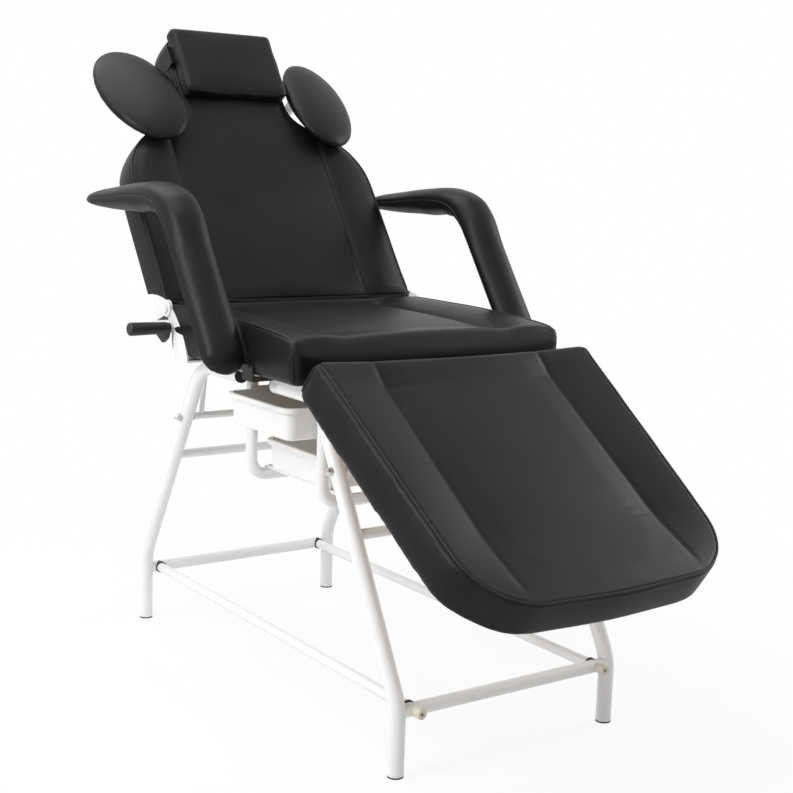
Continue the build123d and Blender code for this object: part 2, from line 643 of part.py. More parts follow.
with BuildPart() as seat_board:
    with BuildSketch(Plane(origin=(0, SEAT_MID_Y, SEAT_BASE_Z))):
        RectangleRounded(PANEL_W - 2 * BOARD_INSET, SEAT_L - 2 * BOARD_INSET, CORNER_R)
    extrude(amount=BOARD_T)
    with BuildSketch(Plane(origin=(0, BASE_Y, SEAT_BASE_Z))):
        with GridLocations(LEG_SPREAD, SEAT_BOLT_SPACING / 2, 2, 2):
            Circle(SEAT_BOLT_R + SEAT_GAP)
    extrude(amount=SEAT_BOLT_DEPTH + SEAT_GAP, mode=Mode.SUBTRACT)
seat_board.part.label = "seat_board"
export_step(seat_board.part, "parts/seat_board.step")


# Backrest
def backrest_outline(inset=0.0):
    """Half of the waisted outline, mirrored: straight sides, round shoulders, a narrow head."""
    with BuildSketch() as outline:
        with BuildLine():
            FilletPolyline(
                (0, 0),
                (PANEL_SIDE, 0),
                (PANEL_SIDE, SHOULDER_S),
                (NECK_HALF_W, NECK_S),
                (NECK_HALF_W, BACK_L),
                (0, BACK_L),
                radius=[CORNER_R, SHOULDER_R, NECK_R, HEAD_R],
            )
            mirror(about=Plane.YZ)
        make_face()
        if inset:
            offset(amount=-inset, kind=Kind.INTERSECTION, mode=Mode.REPLACE)
    return outline.sketch


BACK_EDGE_R = 16.0
with BuildPart() as backrest_cushion:
    with BuildSketch(BACK.offset(-PANEL_T)):
        add(backrest_outline())
    extrude(amount=PANEL_T + CROWN + OVERRUN)
    across = Plane(origin=BACK_ORIGIN, x_dir=(1, 0, 0), z_dir=-UP_BACK)
    with BuildSketch(across):
        add(panel_section(PANEL_T, BACK_CREASE_N, CROWN))
    extrude(amount=BACK_L + OVERRUN, both=True, mode=Mode.INTERSECT)
    with BuildSketch(Plane(origin=BACK_ORIGIN, x_dir=UP_BACK, z_dir=(1, 0, 0))):
        with BuildLine():
            ThreePointArc((0, 0), (BACK_EDGE_R / 3, CROWN - BACK_EDGE_R / 3), (BACK_EDGE_R, CROWN))
            Line((BACK_EDGE_R, CROWN), (BACK_L - BACK_EDGE_R, CROWN))
            ThreePointArc(
                (BACK_L - BACK_EDGE_R, CROWN), (BACK_L - BACK_EDGE_R / 3, CROWN - BACK_EDGE_R / 3), (BACK_L, 0)
            )
            Polyline((BACK_L, 0), (BACK_L, -PANEL_T), (0, -PANEL_T), (0, 0))
        make_face()
    extrude(amount=PANEL_W, both=True, mode=Mode.INTERSECT)
    with BuildSketch(BACK.offset(-PANEL_T)):
        add(backrest_outline(BOARD_INSET - SEAT_GAP))
    extrude(amount=BOARD_T + SEAT_GAP, mode=Mode.SUBTRACT)
backrest_cushion.part.label = "backrest_cushion"
export_step(backrest_cushion.part, "parts/backrest_cushion.step")

with BuildPart() as backrest_board:
    with BuildSketch(BACK.offset(-PANEL_T)):
        add(backrest_outline(BOARD_INSET))
    extrude(amount=BOARD_T)
backrest_board.part.label = "backrest_board"
export_step(backrest_board.part, "parts/backrest_board.step")


# Leg rest
def legrest_outline(inset=0.0):
    """Half of the leg rest's outline, mirrored: sides that draw in, big foot corners, a bowed end."""
    with BuildSketch() as outline:
        with BuildLine():
            FilletPolyline(
                (0, 0),
                (PANEL_SIDE, 0),
                (PANEL_SIDE - LEGREST_TAPER, -LEGREST_L + LEGREST_END_BOW),
                (0, -LEGREST_L),
                radius=[CORNER_R, LEGREST_END_R],
            )
            mirror(about=Plane.YZ)
        make_face()
        if inset:
            offset(amount=-inset, kind=Kind.INTERSECTION, mode=Mode.REPLACE)
    return outline.sketch


with BuildPart() as legrest_cushion:
    with BuildSketch(LEGREST.offset(-PANEL_T)):
        add(legrest_outline())
    extrude(amount=PANEL_T)
    fillet(legrest_cushion.faces().sort_by(Axis(LEGREST_ORIGIN, OUT_LEGREST))[-1].edges(), radius=PIPED_EDGE_R)
    with BuildSketch(LEGREST):
        with Locations((0, -LEGREST_L / 2)):
            Rectangle(2 * PANEL_HALF - 2 * LEGREST_TAPER - 2 * DISH_END, LEGREST_L - 2 * DISH_END)
    with BuildSketch(LEGREST.offset(-DISH_DEPTH)):
        with Locations((0, -LEGREST_L / 2)):
            Rectangle(2 * CREASE_X, LEGREST_L - 2 * DISH_END - 2 * DISH_SLOPE_END)
    loft(mode=Mode.SUBTRACT)
    with BuildSketch(LEGREST.offset(-PANEL_T)):
        add(legrest_outline(BOARD_INSET - SEAT_GAP))
    extrude(amount=BOARD_T + SEAT_GAP, mode=Mode.SUBTRACT)
legrest_cushion.part.label = "legrest_cushion"
export_step(legrest_cushion.part, "parts/legrest_cushion.step")

with BuildPart() as legrest_board:
    with BuildSketch(LEGREST.offset(-PANEL_T)):
        add(legrest_outline(BOARD_INSET))
    extrude(amount=BOARD_T)
legrest_board.part.label = "legrest_board"
export_step(legrest_board.part, "parts/legrest_board.step")


# Leg rest hinges: a fixed knuckle on the front cross rail between two knuckles under the leg rest
KNUCKLE_R = 9.0
KNUCKLE_W = 28.0
KNUCKLE_END_W = 12.0
HINGE_INSET = 70.0        # knuckles in from the leg axes
HINGE_X = LEG_X - HINGE_INSET
LEAF_L = 62.0
leaf_w = KNUCKLE_W + 2 * (KNUCKLE_END_W + SEAT_GAP)
legrest_axis = (LEGREST_Y, LEGREST_Z)
rail_front_y = BASE_Y - RAIL_FRONT - WELD_GAP
with BuildPart() as legrest_knuckles:
    for hand in SIDES.values():
        with BuildSketch(facing_x(hand * HINGE_X)):
            with Locations(legrest_axis):
                Circle(KNUCKLE_R)
            with Locations(((LEGREST_Y + rail_front_y) / 2, RAIL_Z + RAIL_T / 2)):
                Rectangle(rail_front_y - LEGREST_Y, RAIL_T)
            with Locations(legrest_axis):
                Circle(PIN_R + RUN_GAP, mode=Mode.SUBTRACT)
        extrude(amount=KNUCKLE_W / 2, both=True)
legrest_knuckles.part.label = "legrest_knuckles"
export_step(legrest_knuckles.part, "parts/legrest_knuckles.step")

leaf_plane = Plane(
    origin=LEGREST_ORIGIN - OUT_LEGREST * (PANEL_T + SEAT_GAP), x_dir=(1, 0, 0), z_dir=-OUT_LEGREST
)
with BuildPart() as legrest_leaves:
    for hand in SIDES.values():
        with BuildSketch(leaf_plane):
            with Locations((hand * HINGE_X, (LEAF_L - 2 * LEGREST_TO_EDGE) / 2)):
                Rectangle(leaf_w, LEAF_L)
        extrude(amount=PLATE_T)
        with BuildSketch(facing_x(hand * HINGE_X)):
            with Locations(legrest_axis):
                Circle(KNUCKLE_R)
        extrude(amount=leaf_w / 2, both=True)
        with BuildSketch(facing_x(hand * HINGE_X)):
            with Locations(legrest_axis):
                Circle(KNUCKLE_R + LEGREST_TO_EDGE / 2)
        extrude(amount=KNUCKLE_W / 2 + SEAT_GAP, both=True, mode=Mode.SUBTRACT)
        with BuildSketch(facing_x(hand * HINGE_X)):
            with Locations(legrest_axis):
                Circle(PIN_R + WELD_GAP)
        extrude(amount=leaf_w / 2, both=True, mode=Mode.SUBTRACT)
legrest_leaves.part.label = "legrest_leaves"
export_step(legrest_leaves.part, "parts/legrest_leaves.step")

with BuildPart() as legrest_pins:
    for hand in SIDES.values():
        with BuildSketch(facing_x(hand * HINGE_X)):
            with Locations(legrest_axis):
                Circle(PIN_R)
        extrude(amount=leaf_w / 2, both=True)
legrest_pins.part.label = "legrest_pins"
export_step(legrest_pins.part, "parts/legrest_pins.step")

# Recline cheeks, fixed to the rails, and the wings of the backrest that turn on them
CHEEK_FOOT_L = 65.0
CHEEK_FOOT_AHEAD = 28.0   # of the recline pivot
CHEEK_FOOT_REAR = RECLINE_Y - CHEEK_FOOT_AHEAD
CHEEK_FOOT_FRONT = CHEEK_FOOT_REAR - CHEEK_FOOT_L
CHEEK_WAIST = 13.0
WING_T = CHEEK_T
WING_REACH_S = 60.0
FLANGE_W = 62.0
BOLT_HEAD_R = 9.0
BOLT_HEAD_T = 3.0
BOLT_GAP = 0.3
STUD_LUG_R = 12.0
recline_axis = (RECLINE_Y, RECLINE_Z)
lever_axis = (LEVER_Y, LEVER_Z)
for side, hand in SIDES.items():
    with BuildPart() as hinge_cheek:
        with BuildSketch(facing_x(hand * CHEEK_X)):
            with BuildLine():
                Spline((CHEEK_FOOT_FRONT, RAIL_Z), (LEVER_Y - 3 * CHEEK_WAIST, LEVER_Z), (RECLINE_Y - LUG_R, RECLINE_Z))
                Line((RECLINE_Y - LUG_R, RECLINE_Z), (RECLINE_Y, RECLINE_Z - LUG_R))
                Spline(
                    (RECLINE_Y, RECLINE_Z - LUG_R),
                    (CHEEK_FOOT_REAR + CHEEK_WAIST / 2, LEVER_Z - CHEEK_WAIST),
                    (CHEEK_FOOT_REAR, RAIL_Z),
                )
                Line((CHEEK_FOOT_REAR, RAIL_Z), (CHEEK_FOOT_FRONT, RAIL_Z))
            make_face()
            with Locations(recline_axis):
                Circle(LUG_R)
            with Locations(lever_axis):
                Circle(STUD_LUG_R)
            with Locations(recline_axis):
                Circle(PIN_R + WELD_GAP, mode=Mode.SUBTRACT)
            with Locations(lever_axis):
                Circle(LEVER_STUD_R + WELD_GAP, mode=Mode.SUBTRACT)
        extrude(amount=hand * CHEEK_T)
        foot_w = CHEEK_X - (LEG_X + RAIL_W / 2) - WELD_GAP
        with BuildSketch(Plane.XY.offset(RAIL_Z)):
            with Locations((hand * (CHEEK_X - foot_w / 2), (CHEEK_FOOT_FRONT + CHEEK_FOOT_REAR) / 2)):
                Rectangle(foot_w, CHEEK_FOOT_REAR - CHEEK_FOOT_FRONT)
        extrude(amount=PLATE_T)
    hinge_cheek.part.label = f"hinge_cheek_{side}"
    export_step(hinge_cheek.part, f"parts/hinge_cheek_{side}.step")

    in_back = Plane(origin=BACK_ORIGIN + Vector(hand * WING_X, 0, 0), x_dir=UP_BACK, z_dir=(1, 0, 0))
    pivot_s = -RECLINE_TO_EDGE
    back_n = -PANEL_T - SEAT_GAP
    with BuildPart() as wing_plate:
        with BuildSketch(in_back):
            with BuildLine():
                Spline(
                    (pivot_s, RECLINE_PROUD + LUG_R),
                    (WING_REACH_S / 4, -LUG_R / 3),
                    (WING_REACH_S, -PANEL_T),
                )
                Polyline(
                    (WING_REACH_S, -PANEL_T),
                    (WING_REACH_S, back_n - PLATE_T),
                    (0, back_n - PLATE_T),
                    (pivot_s / 2, -PANEL_T),
                    (pivot_s - LUG_R / 2, RECLINE_PROUD - LUG_R / 2),
                    (pivot_s, RECLINE_PROUD + LUG_R),
                )
            make_face()
            with Locations((pivot_s, RECLINE_PROUD)):
                Circle(LUG_R)
            with Locations((pivot_s, RECLINE_PROUD)):
                Circle(PIN_R + RUN_GAP, mode=Mode.SUBTRACT)
        extrude(amount=hand * WING_T)
        with BuildSketch(BACK.offset(back_n)):
            with Locations((hand * (WING_X + WING_T - FLANGE_W / 2), WING_REACH_S / 2)):
                Rectangle(FLANGE_W, WING_REACH_S)
        extrude(amount=-PLATE_T)
    wing_plate.part.label = f"wing_plate_{side}"
    export_step(wing_plate.part, f"parts/wing_plate_{side}.step")

with BuildPart() as recline_bolts:
    for hand in SIDES.values():
        bolt_plane = Plane(origin=(hand * CHEEK_X, 0, 0), x_dir=(0, hand, 0), z_dir=(hand, 0, 0))
        with BuildSketch(bolt_plane):
            with Locations((hand * RECLINE_Y, RECLINE_Z)):
                Circle(PIN_R)
        extrude(amount=WING_X + WING_T + BOLT_GAP - CHEEK_X)
        with BuildSketch(bolt_plane.offset(WING_X + WING_T + BOLT_GAP - CHEEK_X)):
            with Locations((hand * RECLINE_Y, RECLINE_Z)):
                Circle(BOLT_HEAD_R)
        extrude(amount=BOLT_HEAD_T)
recline_bolts.part.label = "recline_bolts"
export_step(recline_bolts.part, "parts/recline_bolts.step")

# Recline lever: a stud in the right-hand cheek, a black cam on it and the grip
CAM_RISE = 33.0
CAM_REACH = 76.0
CAM_LUG_R = 11.0
BOSS_R = 8.0
GRIP_ROOT_R = 12.5
GRIP_END_R = 5.0
CAM_NECK = 18.0
lever_plane = Plane(origin=(-CHEEK_X, LEVER_Y, LEVER_Z), x_dir=(0, 1, 0), z_dir=(-1, 0, 0))
cam_plane = lever_plane.offset(CAM_X - CHEEK_X)
with BuildPart() as lever_stud:
    with BuildSketch(lever_plane):
        Circle(LEVER_STUD_R)
    extrude(amount=CAM_X + LEVER_CAM_T - CHEEK_X)
    with BuildSketch(lever_plane.offset(CHEEK_T + SEAT_GAP)):
        Circle(BOSS_R)
    extrude(amount=CAM_X - CHEEK_X - CHEEK_T - 2 * SEAT_GAP)
lever_stud.part.label = "lever_stud"
export_step(lever_stud.part, "parts/lever_stud.step")

with BuildPart() as lever_cam:
    with BuildSketch(cam_plane):
        with BuildLine():
            Polyline(
                (0, -CAM_LUG_R),
                (CAM_REACH, CAM_LUG_R / 2),
                (CAM_NECK, CAM_RISE),
                (0, CAM_LUG_R + CAM_LUG_R),
                (-CAM_LUG_R, 0),
                close=True,
            )
        make_face()
        Circle(CAM_LUG_R)
        Circle(LEVER_STUD_R + RUN_GAP, mode=Mode.SUBTRACT)
    extrude(amount=LEVER_CAM_T)
lever_cam.part.label = "lever_cam"
export_step(lever_cam.part, "parts/lever_cam.step")

with BuildPart() as lever_grip:
    with BuildSketch(cam_plane.offset(LEVER_CAM_T + SEAT_GAP)):
        Circle(GRIP_ROOT_R)
    with BuildSketch(cam_plane.offset(LEVER_CAM_T + SEAT_GAP + GRIP_L)):
        Circle(GRIP_R)
    loft()
    fillet(lever_grip.edges().sort_by(Axis.X)[0], radius=GRIP_END_R)
lever_grip.part.label = "lever_grip"
export_step(lever_grip.part, "parts/lever_grip.step")

# Armrests, each a padded elbow with a plate set into its inner side, on a bracket from the rail
ARM_PLATE_W = 36.0
ARM_TAPER = 0.15
ARM_PLATE_L = 120.0
BRACKET_HALF_W = 20.0
BOSS_DISC_R = 12.5
ARM_INNER_X = ARM_X - ARM_W / 2
arm_bracket_x = ARM_INNER_X - ARM_GAP + SKIRT_GAP
arm_axis = (ARM_PIVOT_Y, ARM_PIVOT_Z)
ARM_LOW = Vector(ARM_LOW_Y, ARM_LOW_Z)
POST_WAY = Vector(sin(radians(POST_LEAN)), cos(radians(POST_LEAN)))
POST_SIDE = Vector(POST_WAY.Y, -POST_WAY.X)
POST_ANGLE = 90.0 - POST_LEAN


def arm_outline():
    """Side view of an armrest: a leaning post, a rounded elbow and an arm that thins to its tip."""
    front_low = ARM_LOW - POST_SIDE * POST_HALF_T
    rear_low = ARM_LOW + POST_SIDE * POST_HALF_T
    front_high = front_low + POST_WAY * POST_FRONT_L
    rear_high = rear_low + POST_WAY * POST_REAR_L
    end = ARM_LOW - POST_WAY * POST_HALF_T
    tip_top = (ARM_TIP_Y, ARM_TIP_Z + ARM_TIP_HALF)
    tip_low = (ARM_TIP_Y, ARM_TIP_Z - ARM_TIP_HALF)
    along = (POST_WAY.X, POST_WAY.Y)
    back = (-POST_WAY.X, -POST_WAY.Y)
    with BuildSketch() as outline:
        with BuildLine():
            Line((front_low.X, front_low.Y), (front_high.X, front_high.Y))
            Spline((front_high.X, front_high.Y), *ARM_TOP, tip_top, tangents=(along, (1, -ARM_TAPER)))
            ThreePointArc(tip_top, (ARM_TIP_Y + ARM_TIP_HALF, ARM_TIP_Z), tip_low)
            Spline(tip_low, *ARM_UNDER, (rear_high.X, rear_high.Y), tangents=((-1, 0), back))
            Line((rear_high.X, rear_high.Y), (rear_low.X, rear_low.Y))
            ThreePointArc((rear_low.X, rear_low.Y), (end.X, end.Y), (front_low.X, front_low.Y))
        make_face()
    return outline.sketch


plate_middle = ARM_LOW + POST_WAY * (ARM_PLATE_L / 2 - POST_HALF_T / 2)
plate_place = Location((plate_middle.X, plate_middle.Y), POST_ANGLE)
for side, hand in SIDES.items():
    inner = Plane(origin=(hand * ARM_INNER_X, 0, 0), x_dir=(0, 1, 0), z_dir=(1, 0, 0))
    with BuildPart() as armrest_pad:
        with BuildSketch(inner):
            add(arm_outline())
        extrude(amount=hand * ARM_W)
        with BuildSketch(Plane.XY):
            with Locations((hand * ARM_X, (ARM_TIP_Y + ARM_TIP_HALF + ARM_LOW_Y - ARM_W) / 2)):
                SlotOverall(ARM_TIP_Y + ARM_TIP_HALF - ARM_LOW_Y + ARM_W, ARM_W, rotation=90)
        extrude(amount=2 * ARM_TIP_Z, mode=Mode.INTERSECT)
        with BuildSketch(inner):
            with Locations(plate_place):
                RectangleRounded(ARM_PLATE_L + 2 * SEAT_GAP, ARM_PLATE_W + 2 * SEAT_GAP, CORNER_R)
        extrude(amount=hand * (ARM_PLATE_T + SEAT_GAP), mode=Mode.SUBTRACT)
    armrest_pad.part.label = f"armrest_pad_{side}"
    export_step(armrest_pad.part, f"parts/armrest_pad_{side}.step")

    with BuildPart() as armrest_plate:
        with BuildSketch(inner):
            with Locations(plate_place):
                RectangleRounded(ARM_PLATE_L, ARM_PLATE_W, CORNER_R)
        extrude(amount=hand * ARM_PLATE_T)
    armrest_plate.part.label = f"armrest_plate_{side}"
    export_step(armrest_plate.part, f"parts/armrest_plate_{side}.step")

    hub_gap = ARM_INNER_X - arm_bracket_x - PLATE_T - 2 * SEAT_GAP
    with BuildPart() as armrest_hub:
        with BuildSketch(Plane(origin=(hand * (ARM_INNER_X - SEAT_GAP), 0, 0), x_dir=(0, 1, 0), z_dir=(1, 0, 0))):
            with Locations(arm_axis):
                Circle(BOSS_DISC_R)
        extrude(amount=-hand * hub_gap)
        with BuildSketch(facing_x(hand * arm_bracket_x)):
            with Locations(arm_axis):
                Circle(PIN_R)
        extrude(amount=hand * (ARM_INNER_X - SEAT_GAP - arm_bracket_x))
    armrest_hub.part.label = f"armrest_hub_{side}"
    export_step(armrest_hub.part, f"parts/armrest_hub_{side}.step")

    tongue = arm_bracket_x - (LEG_X + RAIL_W / 2) - WELD_GAP
    with BuildPart() as arm_bracket:
        with BuildSketch(facing_x(hand * arm_bracket_x)):
            with Locations((ARM_PIVOT_Y, (RAIL_Z + ARM_PIVOT_Z) / 2)):
                Rectangle(2 * BRACKET_HALF_W, ARM_PIVOT_Z - RAIL_Z)
            with Locations(arm_axis):
                Circle(BRACKET_HALF_W)
            with Locations(arm_axis):
                Circle(PIN_R + RUN_GAP, mode=Mode.SUBTRACT)
        extrude(amount=hand * PLATE_T)
        with BuildSketch(Plane.XY.offset(RAIL_Z)):
            with Locations((hand * (arm_bracket_x - tongue / 2), ARM_PIVOT_Y)):
                Rectangle(tongue, 2 * BRACKET_HALF_W)
        extrude(amount=PLATE_T)
    arm_bracket.part.label = f"arm_bracket_{side}"
    export_step(arm_bracket.part, f"parts/arm_bracket_{side}.step")


# Head-side pads on hinged leaves behind the head part
def ear_plane(hand):
    """The middle plane of a head-side pad. Its y runs up the pad."""
    splay, pitch, droop = radians(EAR_SPLAY), radians(EAR_PITCH), radians(EAR_DROOP)
    along = (
        Vector(hand * sin(splay), 0, 0)
        + UP_BACK * (cos(splay) * cos(pitch))
        - OUT_BACK * (cos(splay) * sin(pitch))
    )
    face = UP_BACK * sin(pitch) + OUT_BACK * cos(pitch)
    outward = along.cross(face) * hand
    normal = face * cos(droop) + outward * sin(droop)
    middle = BACK_ORIGIN + Vector(hand * EAR_X, 0, 0) + UP_BACK * EAR_S + OUT_BACK * EAR_N
    return Plane(origin=middle, x_dir=along.cross(normal), z_dir=normal)


EAR_PLATE_W = 46.0
EAR_PLATE_L = 96.0
EAR_BAR_W = 26.0
EAR_BAR_INNER_X = 40.0
EAR_POST_T = 9.0
SLEEVE_X = 105.0
SLEEVE_L = 50.0
SLEEVE_WALL = 2.2
SLIDE_GAP = 0.2
bar_n = -PANEL_T - SEAT_GAP - SLEEVE_WALL - SLIDE_GAP
sleeve_t = PLATE_T + 2 * (SLEEVE_WALL + SLIDE_GAP)
with BuildPart() as ear_sleeves:
    with BuildSketch(BACK.offset(-PANEL_T - SEAT_GAP)):
        with Locations((0, EAR_BRACKET_S)):
            with GridLocations(2 * SLEEVE_X, 0, 2, 1):
                Rectangle(SLEEVE_L, EAR_BAR_W + 6 * SLEEVE_WALL)
    extrude(amount=-sleeve_t)
    with BuildSketch(BACK.offset(bar_n + SLIDE_GAP)):
        with Locations((0, EAR_BRACKET_S)):
            with GridLocations(2 * SLEEVE_X, 0, 2, 1):
                Rectangle(SLEEVE_L, EAR_BAR_W + 2 * SLIDE_GAP)
    extrude(amount=-PLATE_T - 2 * SLIDE_GAP, mode=Mode.SUBTRACT)
ear_sleeves.part.label = "ear_sleeves"
export_step(ear_sleeves.part, "parts/ear_sleeves.step")

for side, hand in SIDES.items():
    pad_plane = ear_plane(hand)
    with BuildPart() as ear_blank:
        Sphere(EAR_HALF_W)
        scale(by=(1, EAR_HALF_L / EAR_HALF_W, EAR_RISE / EAR_HALF_W))
        with BuildSketch(Plane.XY.offset(-EAR_DROP)):
            Rectangle(2 * EAR_HALF_W, 2 * EAR_HALF_L)
        extrude(amount=-EAR_RISE, mode=Mode.SUBTRACT)
    with BuildPart() as ear_pad:
        with Locations(pad_plane.location):
            add(ear_blank.part)
    ear_pad.part.label = f"ear_pad_{side}"
    export_step(ear_pad.part, f"parts/ear_pad_{side}.step")

    plate_back = pad_plane.offset(-EAR_DROP - SEAT_GAP - PLATE_T)
    post_foot = (
        BACK_ORIGIN + Vector(hand * EAR_AXIS_X, 0, 0) + UP_BACK * EAR_BRACKET_S + OUT_BACK * bar_n
    )
    root = plate_back.to_local_coords(post_foot)
    with BuildPart() as ear_arm:
        with BuildSketch(BACK.offset(bar_n - PLATE_T)):
            with Locations((hand * EAR_AXIS_X, EAR_BRACKET_S)):
                Rectangle(EAR_POST_T, EAR_BAR_W)
        extrude(amount=PANEL_T + OVERRUN)
        with BuildSketch(plate_back):
            Rectangle(4 * EAR_HALF_L, 4 * EAR_HALF_L)
        extrude(amount=4 * OVERRUN, mode=Mode.SUBTRACT)
        with BuildSketch(plate_back):
            with Locations((root.X, root.Y)):
                RectangleRounded(EAR_PLATE_W, EAR_PLATE_L, CORNER_R)
        extrude(amount=PLATE_T)
        with BuildSketch(BACK.offset(bar_n)):
            with Locations((hand * (EAR_BAR_INNER_X + EAR_AXIS_X) / 2, EAR_BRACKET_S)):
                Rectangle(EAR_AXIS_X - EAR_BAR_INNER_X, EAR_BAR_W)
        extrude(amount=-PLATE_T)
    ear_arm.part.label = f"ear_arm_{side}"
    export_step(ear_arm.part, f"parts/ear_arm_{side}.step")

# Pillow on the head part, and the band that holds it
PILLOW_EDGE_R = 12.0
PILLOW_LEAN = 22.0
with BuildPart() as pillow:
    with BuildSketch(Plane(origin=BACK_ORIGIN, x_dir=UP_BACK, z_dir=(1, 0, 0))):
        with BuildLine():
            low_s = PILLOW_S - PILLOW_L / 2
            high_s = PILLOW_S + PILLOW_L / 2
            face_n = PILLOW_LIFT + PILLOW_T - PILLOW_CROWN
            Polyline((low_s, face_n - PILLOW_LEAN / 2), (low_s, PILLOW_LIFT), (high_s, PILLOW_LIFT), (high_s, face_n))
            ThreePointArc(
                (high_s, face_n),
                (PILLOW_S, face_n + PILLOW_CROWN),
                (low_s + PILLOW_LEAN, face_n),
            )
            Line((low_s + PILLOW_LEAN, face_n), (low_s, face_n - PILLOW_LEAN / 2))
        make_face()
    extrude(amount=PILLOW_W / 2, both=True)
    fillet(pillow.edges().filter_by(Plane.YZ).group_by(Axis.X)[0], radius=PILLOW_EDGE_R / 3)
    fillet(pillow.edges().filter_by(Plane.YZ).group_by(Axis.X)[-1], radius=PILLOW_EDGE_R / 3)
pillow.part.label = "pillow"
export_step(pillow.part, "parts/pillow.step")

BAND_GAP = 0.5
band_in_w = 2 * (NECK_HALF_W + BAND_GAP)
band_in_h = CROWN + PANEL_T + 2 * BAND_GAP
with BuildPart() as pillow_band:
    with BuildSketch(Plane(origin=BACK_ORIGIN + UP_BACK * STRAP_BAND_S, x_dir=(1, 0, 0), z_dir=-UP_BACK)):
        with Locations((0, (CROWN - PANEL_T) / 2)):
            Rectangle(band_in_w + 2 * STRAP_BAND_T, band_in_h + 2 * STRAP_BAND_T)
            Rectangle(band_in_w, band_in_h, mode=Mode.SUBTRACT)
    extrude(amount=STRAP_BAND_W / 2, both=True)
pillow_band.part.label = "pillow_band"
export_step(pillow_band.part, "parts/pillow_band.step")
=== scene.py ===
"""Looks of a tattoo chair: black leatherette panels with piped edges on a white tube base.
Everything is in metres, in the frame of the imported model: +Z up, -Y the foot end, +X the sitter's left."""

import json
import math

import bmesh
import bpy
import numpy as np
from mathutils import Matrix, Vector
from mathutils.bvhtree import BVHTree


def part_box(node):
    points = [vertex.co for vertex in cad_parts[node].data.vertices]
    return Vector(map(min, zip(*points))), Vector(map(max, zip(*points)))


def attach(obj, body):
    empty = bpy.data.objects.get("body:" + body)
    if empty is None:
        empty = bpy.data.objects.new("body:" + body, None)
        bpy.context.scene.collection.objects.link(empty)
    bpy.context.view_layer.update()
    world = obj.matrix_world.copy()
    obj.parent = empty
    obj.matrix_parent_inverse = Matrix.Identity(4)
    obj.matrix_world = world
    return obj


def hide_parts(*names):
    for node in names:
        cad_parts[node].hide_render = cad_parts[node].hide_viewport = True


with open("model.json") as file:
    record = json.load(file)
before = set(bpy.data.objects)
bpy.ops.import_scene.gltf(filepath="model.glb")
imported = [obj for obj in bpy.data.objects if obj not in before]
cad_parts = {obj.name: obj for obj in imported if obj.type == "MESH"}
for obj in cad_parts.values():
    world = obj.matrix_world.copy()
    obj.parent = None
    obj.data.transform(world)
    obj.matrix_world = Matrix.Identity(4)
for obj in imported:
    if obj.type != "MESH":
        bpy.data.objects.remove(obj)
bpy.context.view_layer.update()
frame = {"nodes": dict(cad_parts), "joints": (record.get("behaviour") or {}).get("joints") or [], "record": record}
nodes = frame["nodes"]
scene = bpy.context.scene

MM = 0.001

# Places that the chair's parts share, as in the model
BACK_ANGLE = math.radians(55.2)
LEGREST_ANGLE = math.radians(35.2)
PANEL_SIDE = 0.3135
PANEL_T = 0.080
CREASE_X = 0.195
PIVOT_TO_BACK = (0.0165, -0.0023)       # from the recline pivot to the backrest's lower piping, up it and out of it
PIVOT_TO_LEGREST = (0.0143, 0.0908)     # from the leg rest's hinge to its upper piping, down it and out of it


def joint(name):
    """The place of a joint of the model."""
    return Vector(next(j["pos_m"] for j in frame["joints"] if j["name"] == name))


def local_frame(origin, along, out):
    """A frame whose x is the chair's x, whose y is along and whose z is out."""
    m = Matrix.Identity(4)
    m.col[0][:3] = along.cross(out)
    m.col[1][:3] = along
    m.col[2][:3] = out
    m.col[3][:3] = origin
    return m


up_back = Vector((0, math.cos(BACK_ANGLE), math.sin(BACK_ANGLE)))
out_back = Vector((0, -math.sin(BACK_ANGLE), math.cos(BACK_ANGLE)))
pivot = joint("backrest_recline")
back_origin = pivot + up_back * PIVOT_TO_BACK[0] + out_back * PIVOT_TO_BACK[1]
back_frame = local_frame(back_origin, up_back, out_back)

up_leg = Vector((0, math.cos(LEGREST_ANGLE), math.sin(LEGREST_ANGLE)))
out_leg = Vector((0, -math.sin(LEGREST_ANGLE), math.cos(LEGREST_ANGLE)))
leg_hinge = joint("legrest_tilt")
leg_origin = leg_hinge - up_leg * PIVOT_TO_LEGREST[0] + out_leg * PIVOT_TO_LEGREST[1]
leg_frame = local_frame(leg_origin, up_leg, out_leg)

seat_low, seat_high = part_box("seat_cushion")
SEAT_T = 0.105
seat_frame = local_frame(
    Vector((0, (seat_low[1] + seat_high[1]) / 2, seat_low[2] + SEAT_T)), Vector((0, 1, 0)), Vector((0, 0, 1))
)
SEAT_HALF_L = (seat_high[1] - seat_low[1]) / 2


# Shaders
MIX_A, MIX_B, MIX_RESULT = 6, 7, 2


class Wire:
    """A node's output. Sums and products of wires and numbers add their Math nodes."""

    def __init__(self, shader, socket):
        self.shader = shader
        self.socket = socket

    def _maths(self, operation, a, b):
        return self.shader.node("ShaderNodeMath", {"operation": operation}, {0: a, 1: b})

    def __add__(self, other):
        return self._maths("ADD", self, other)

    __radd__ = __add__

    def __mul__(self, other):
        return self._maths("MULTIPLY", self, other)

    __rmul__ = __mul__

    def __sub__(self, other):
        return self._maths("SUBTRACT", self, other)

    def __rsub__(self, other):
        return self._maths("SUBTRACT", other, self)

    def ramp(self, low, high):
        """0 below low, 1 above high, smooth between."""
        settings = {"interpolation_type": "SMOOTHSTEP"}
        return self.shader.node("ShaderNodeMapRange", settings, {"Value": self, "From Min": low, "From Max": high})


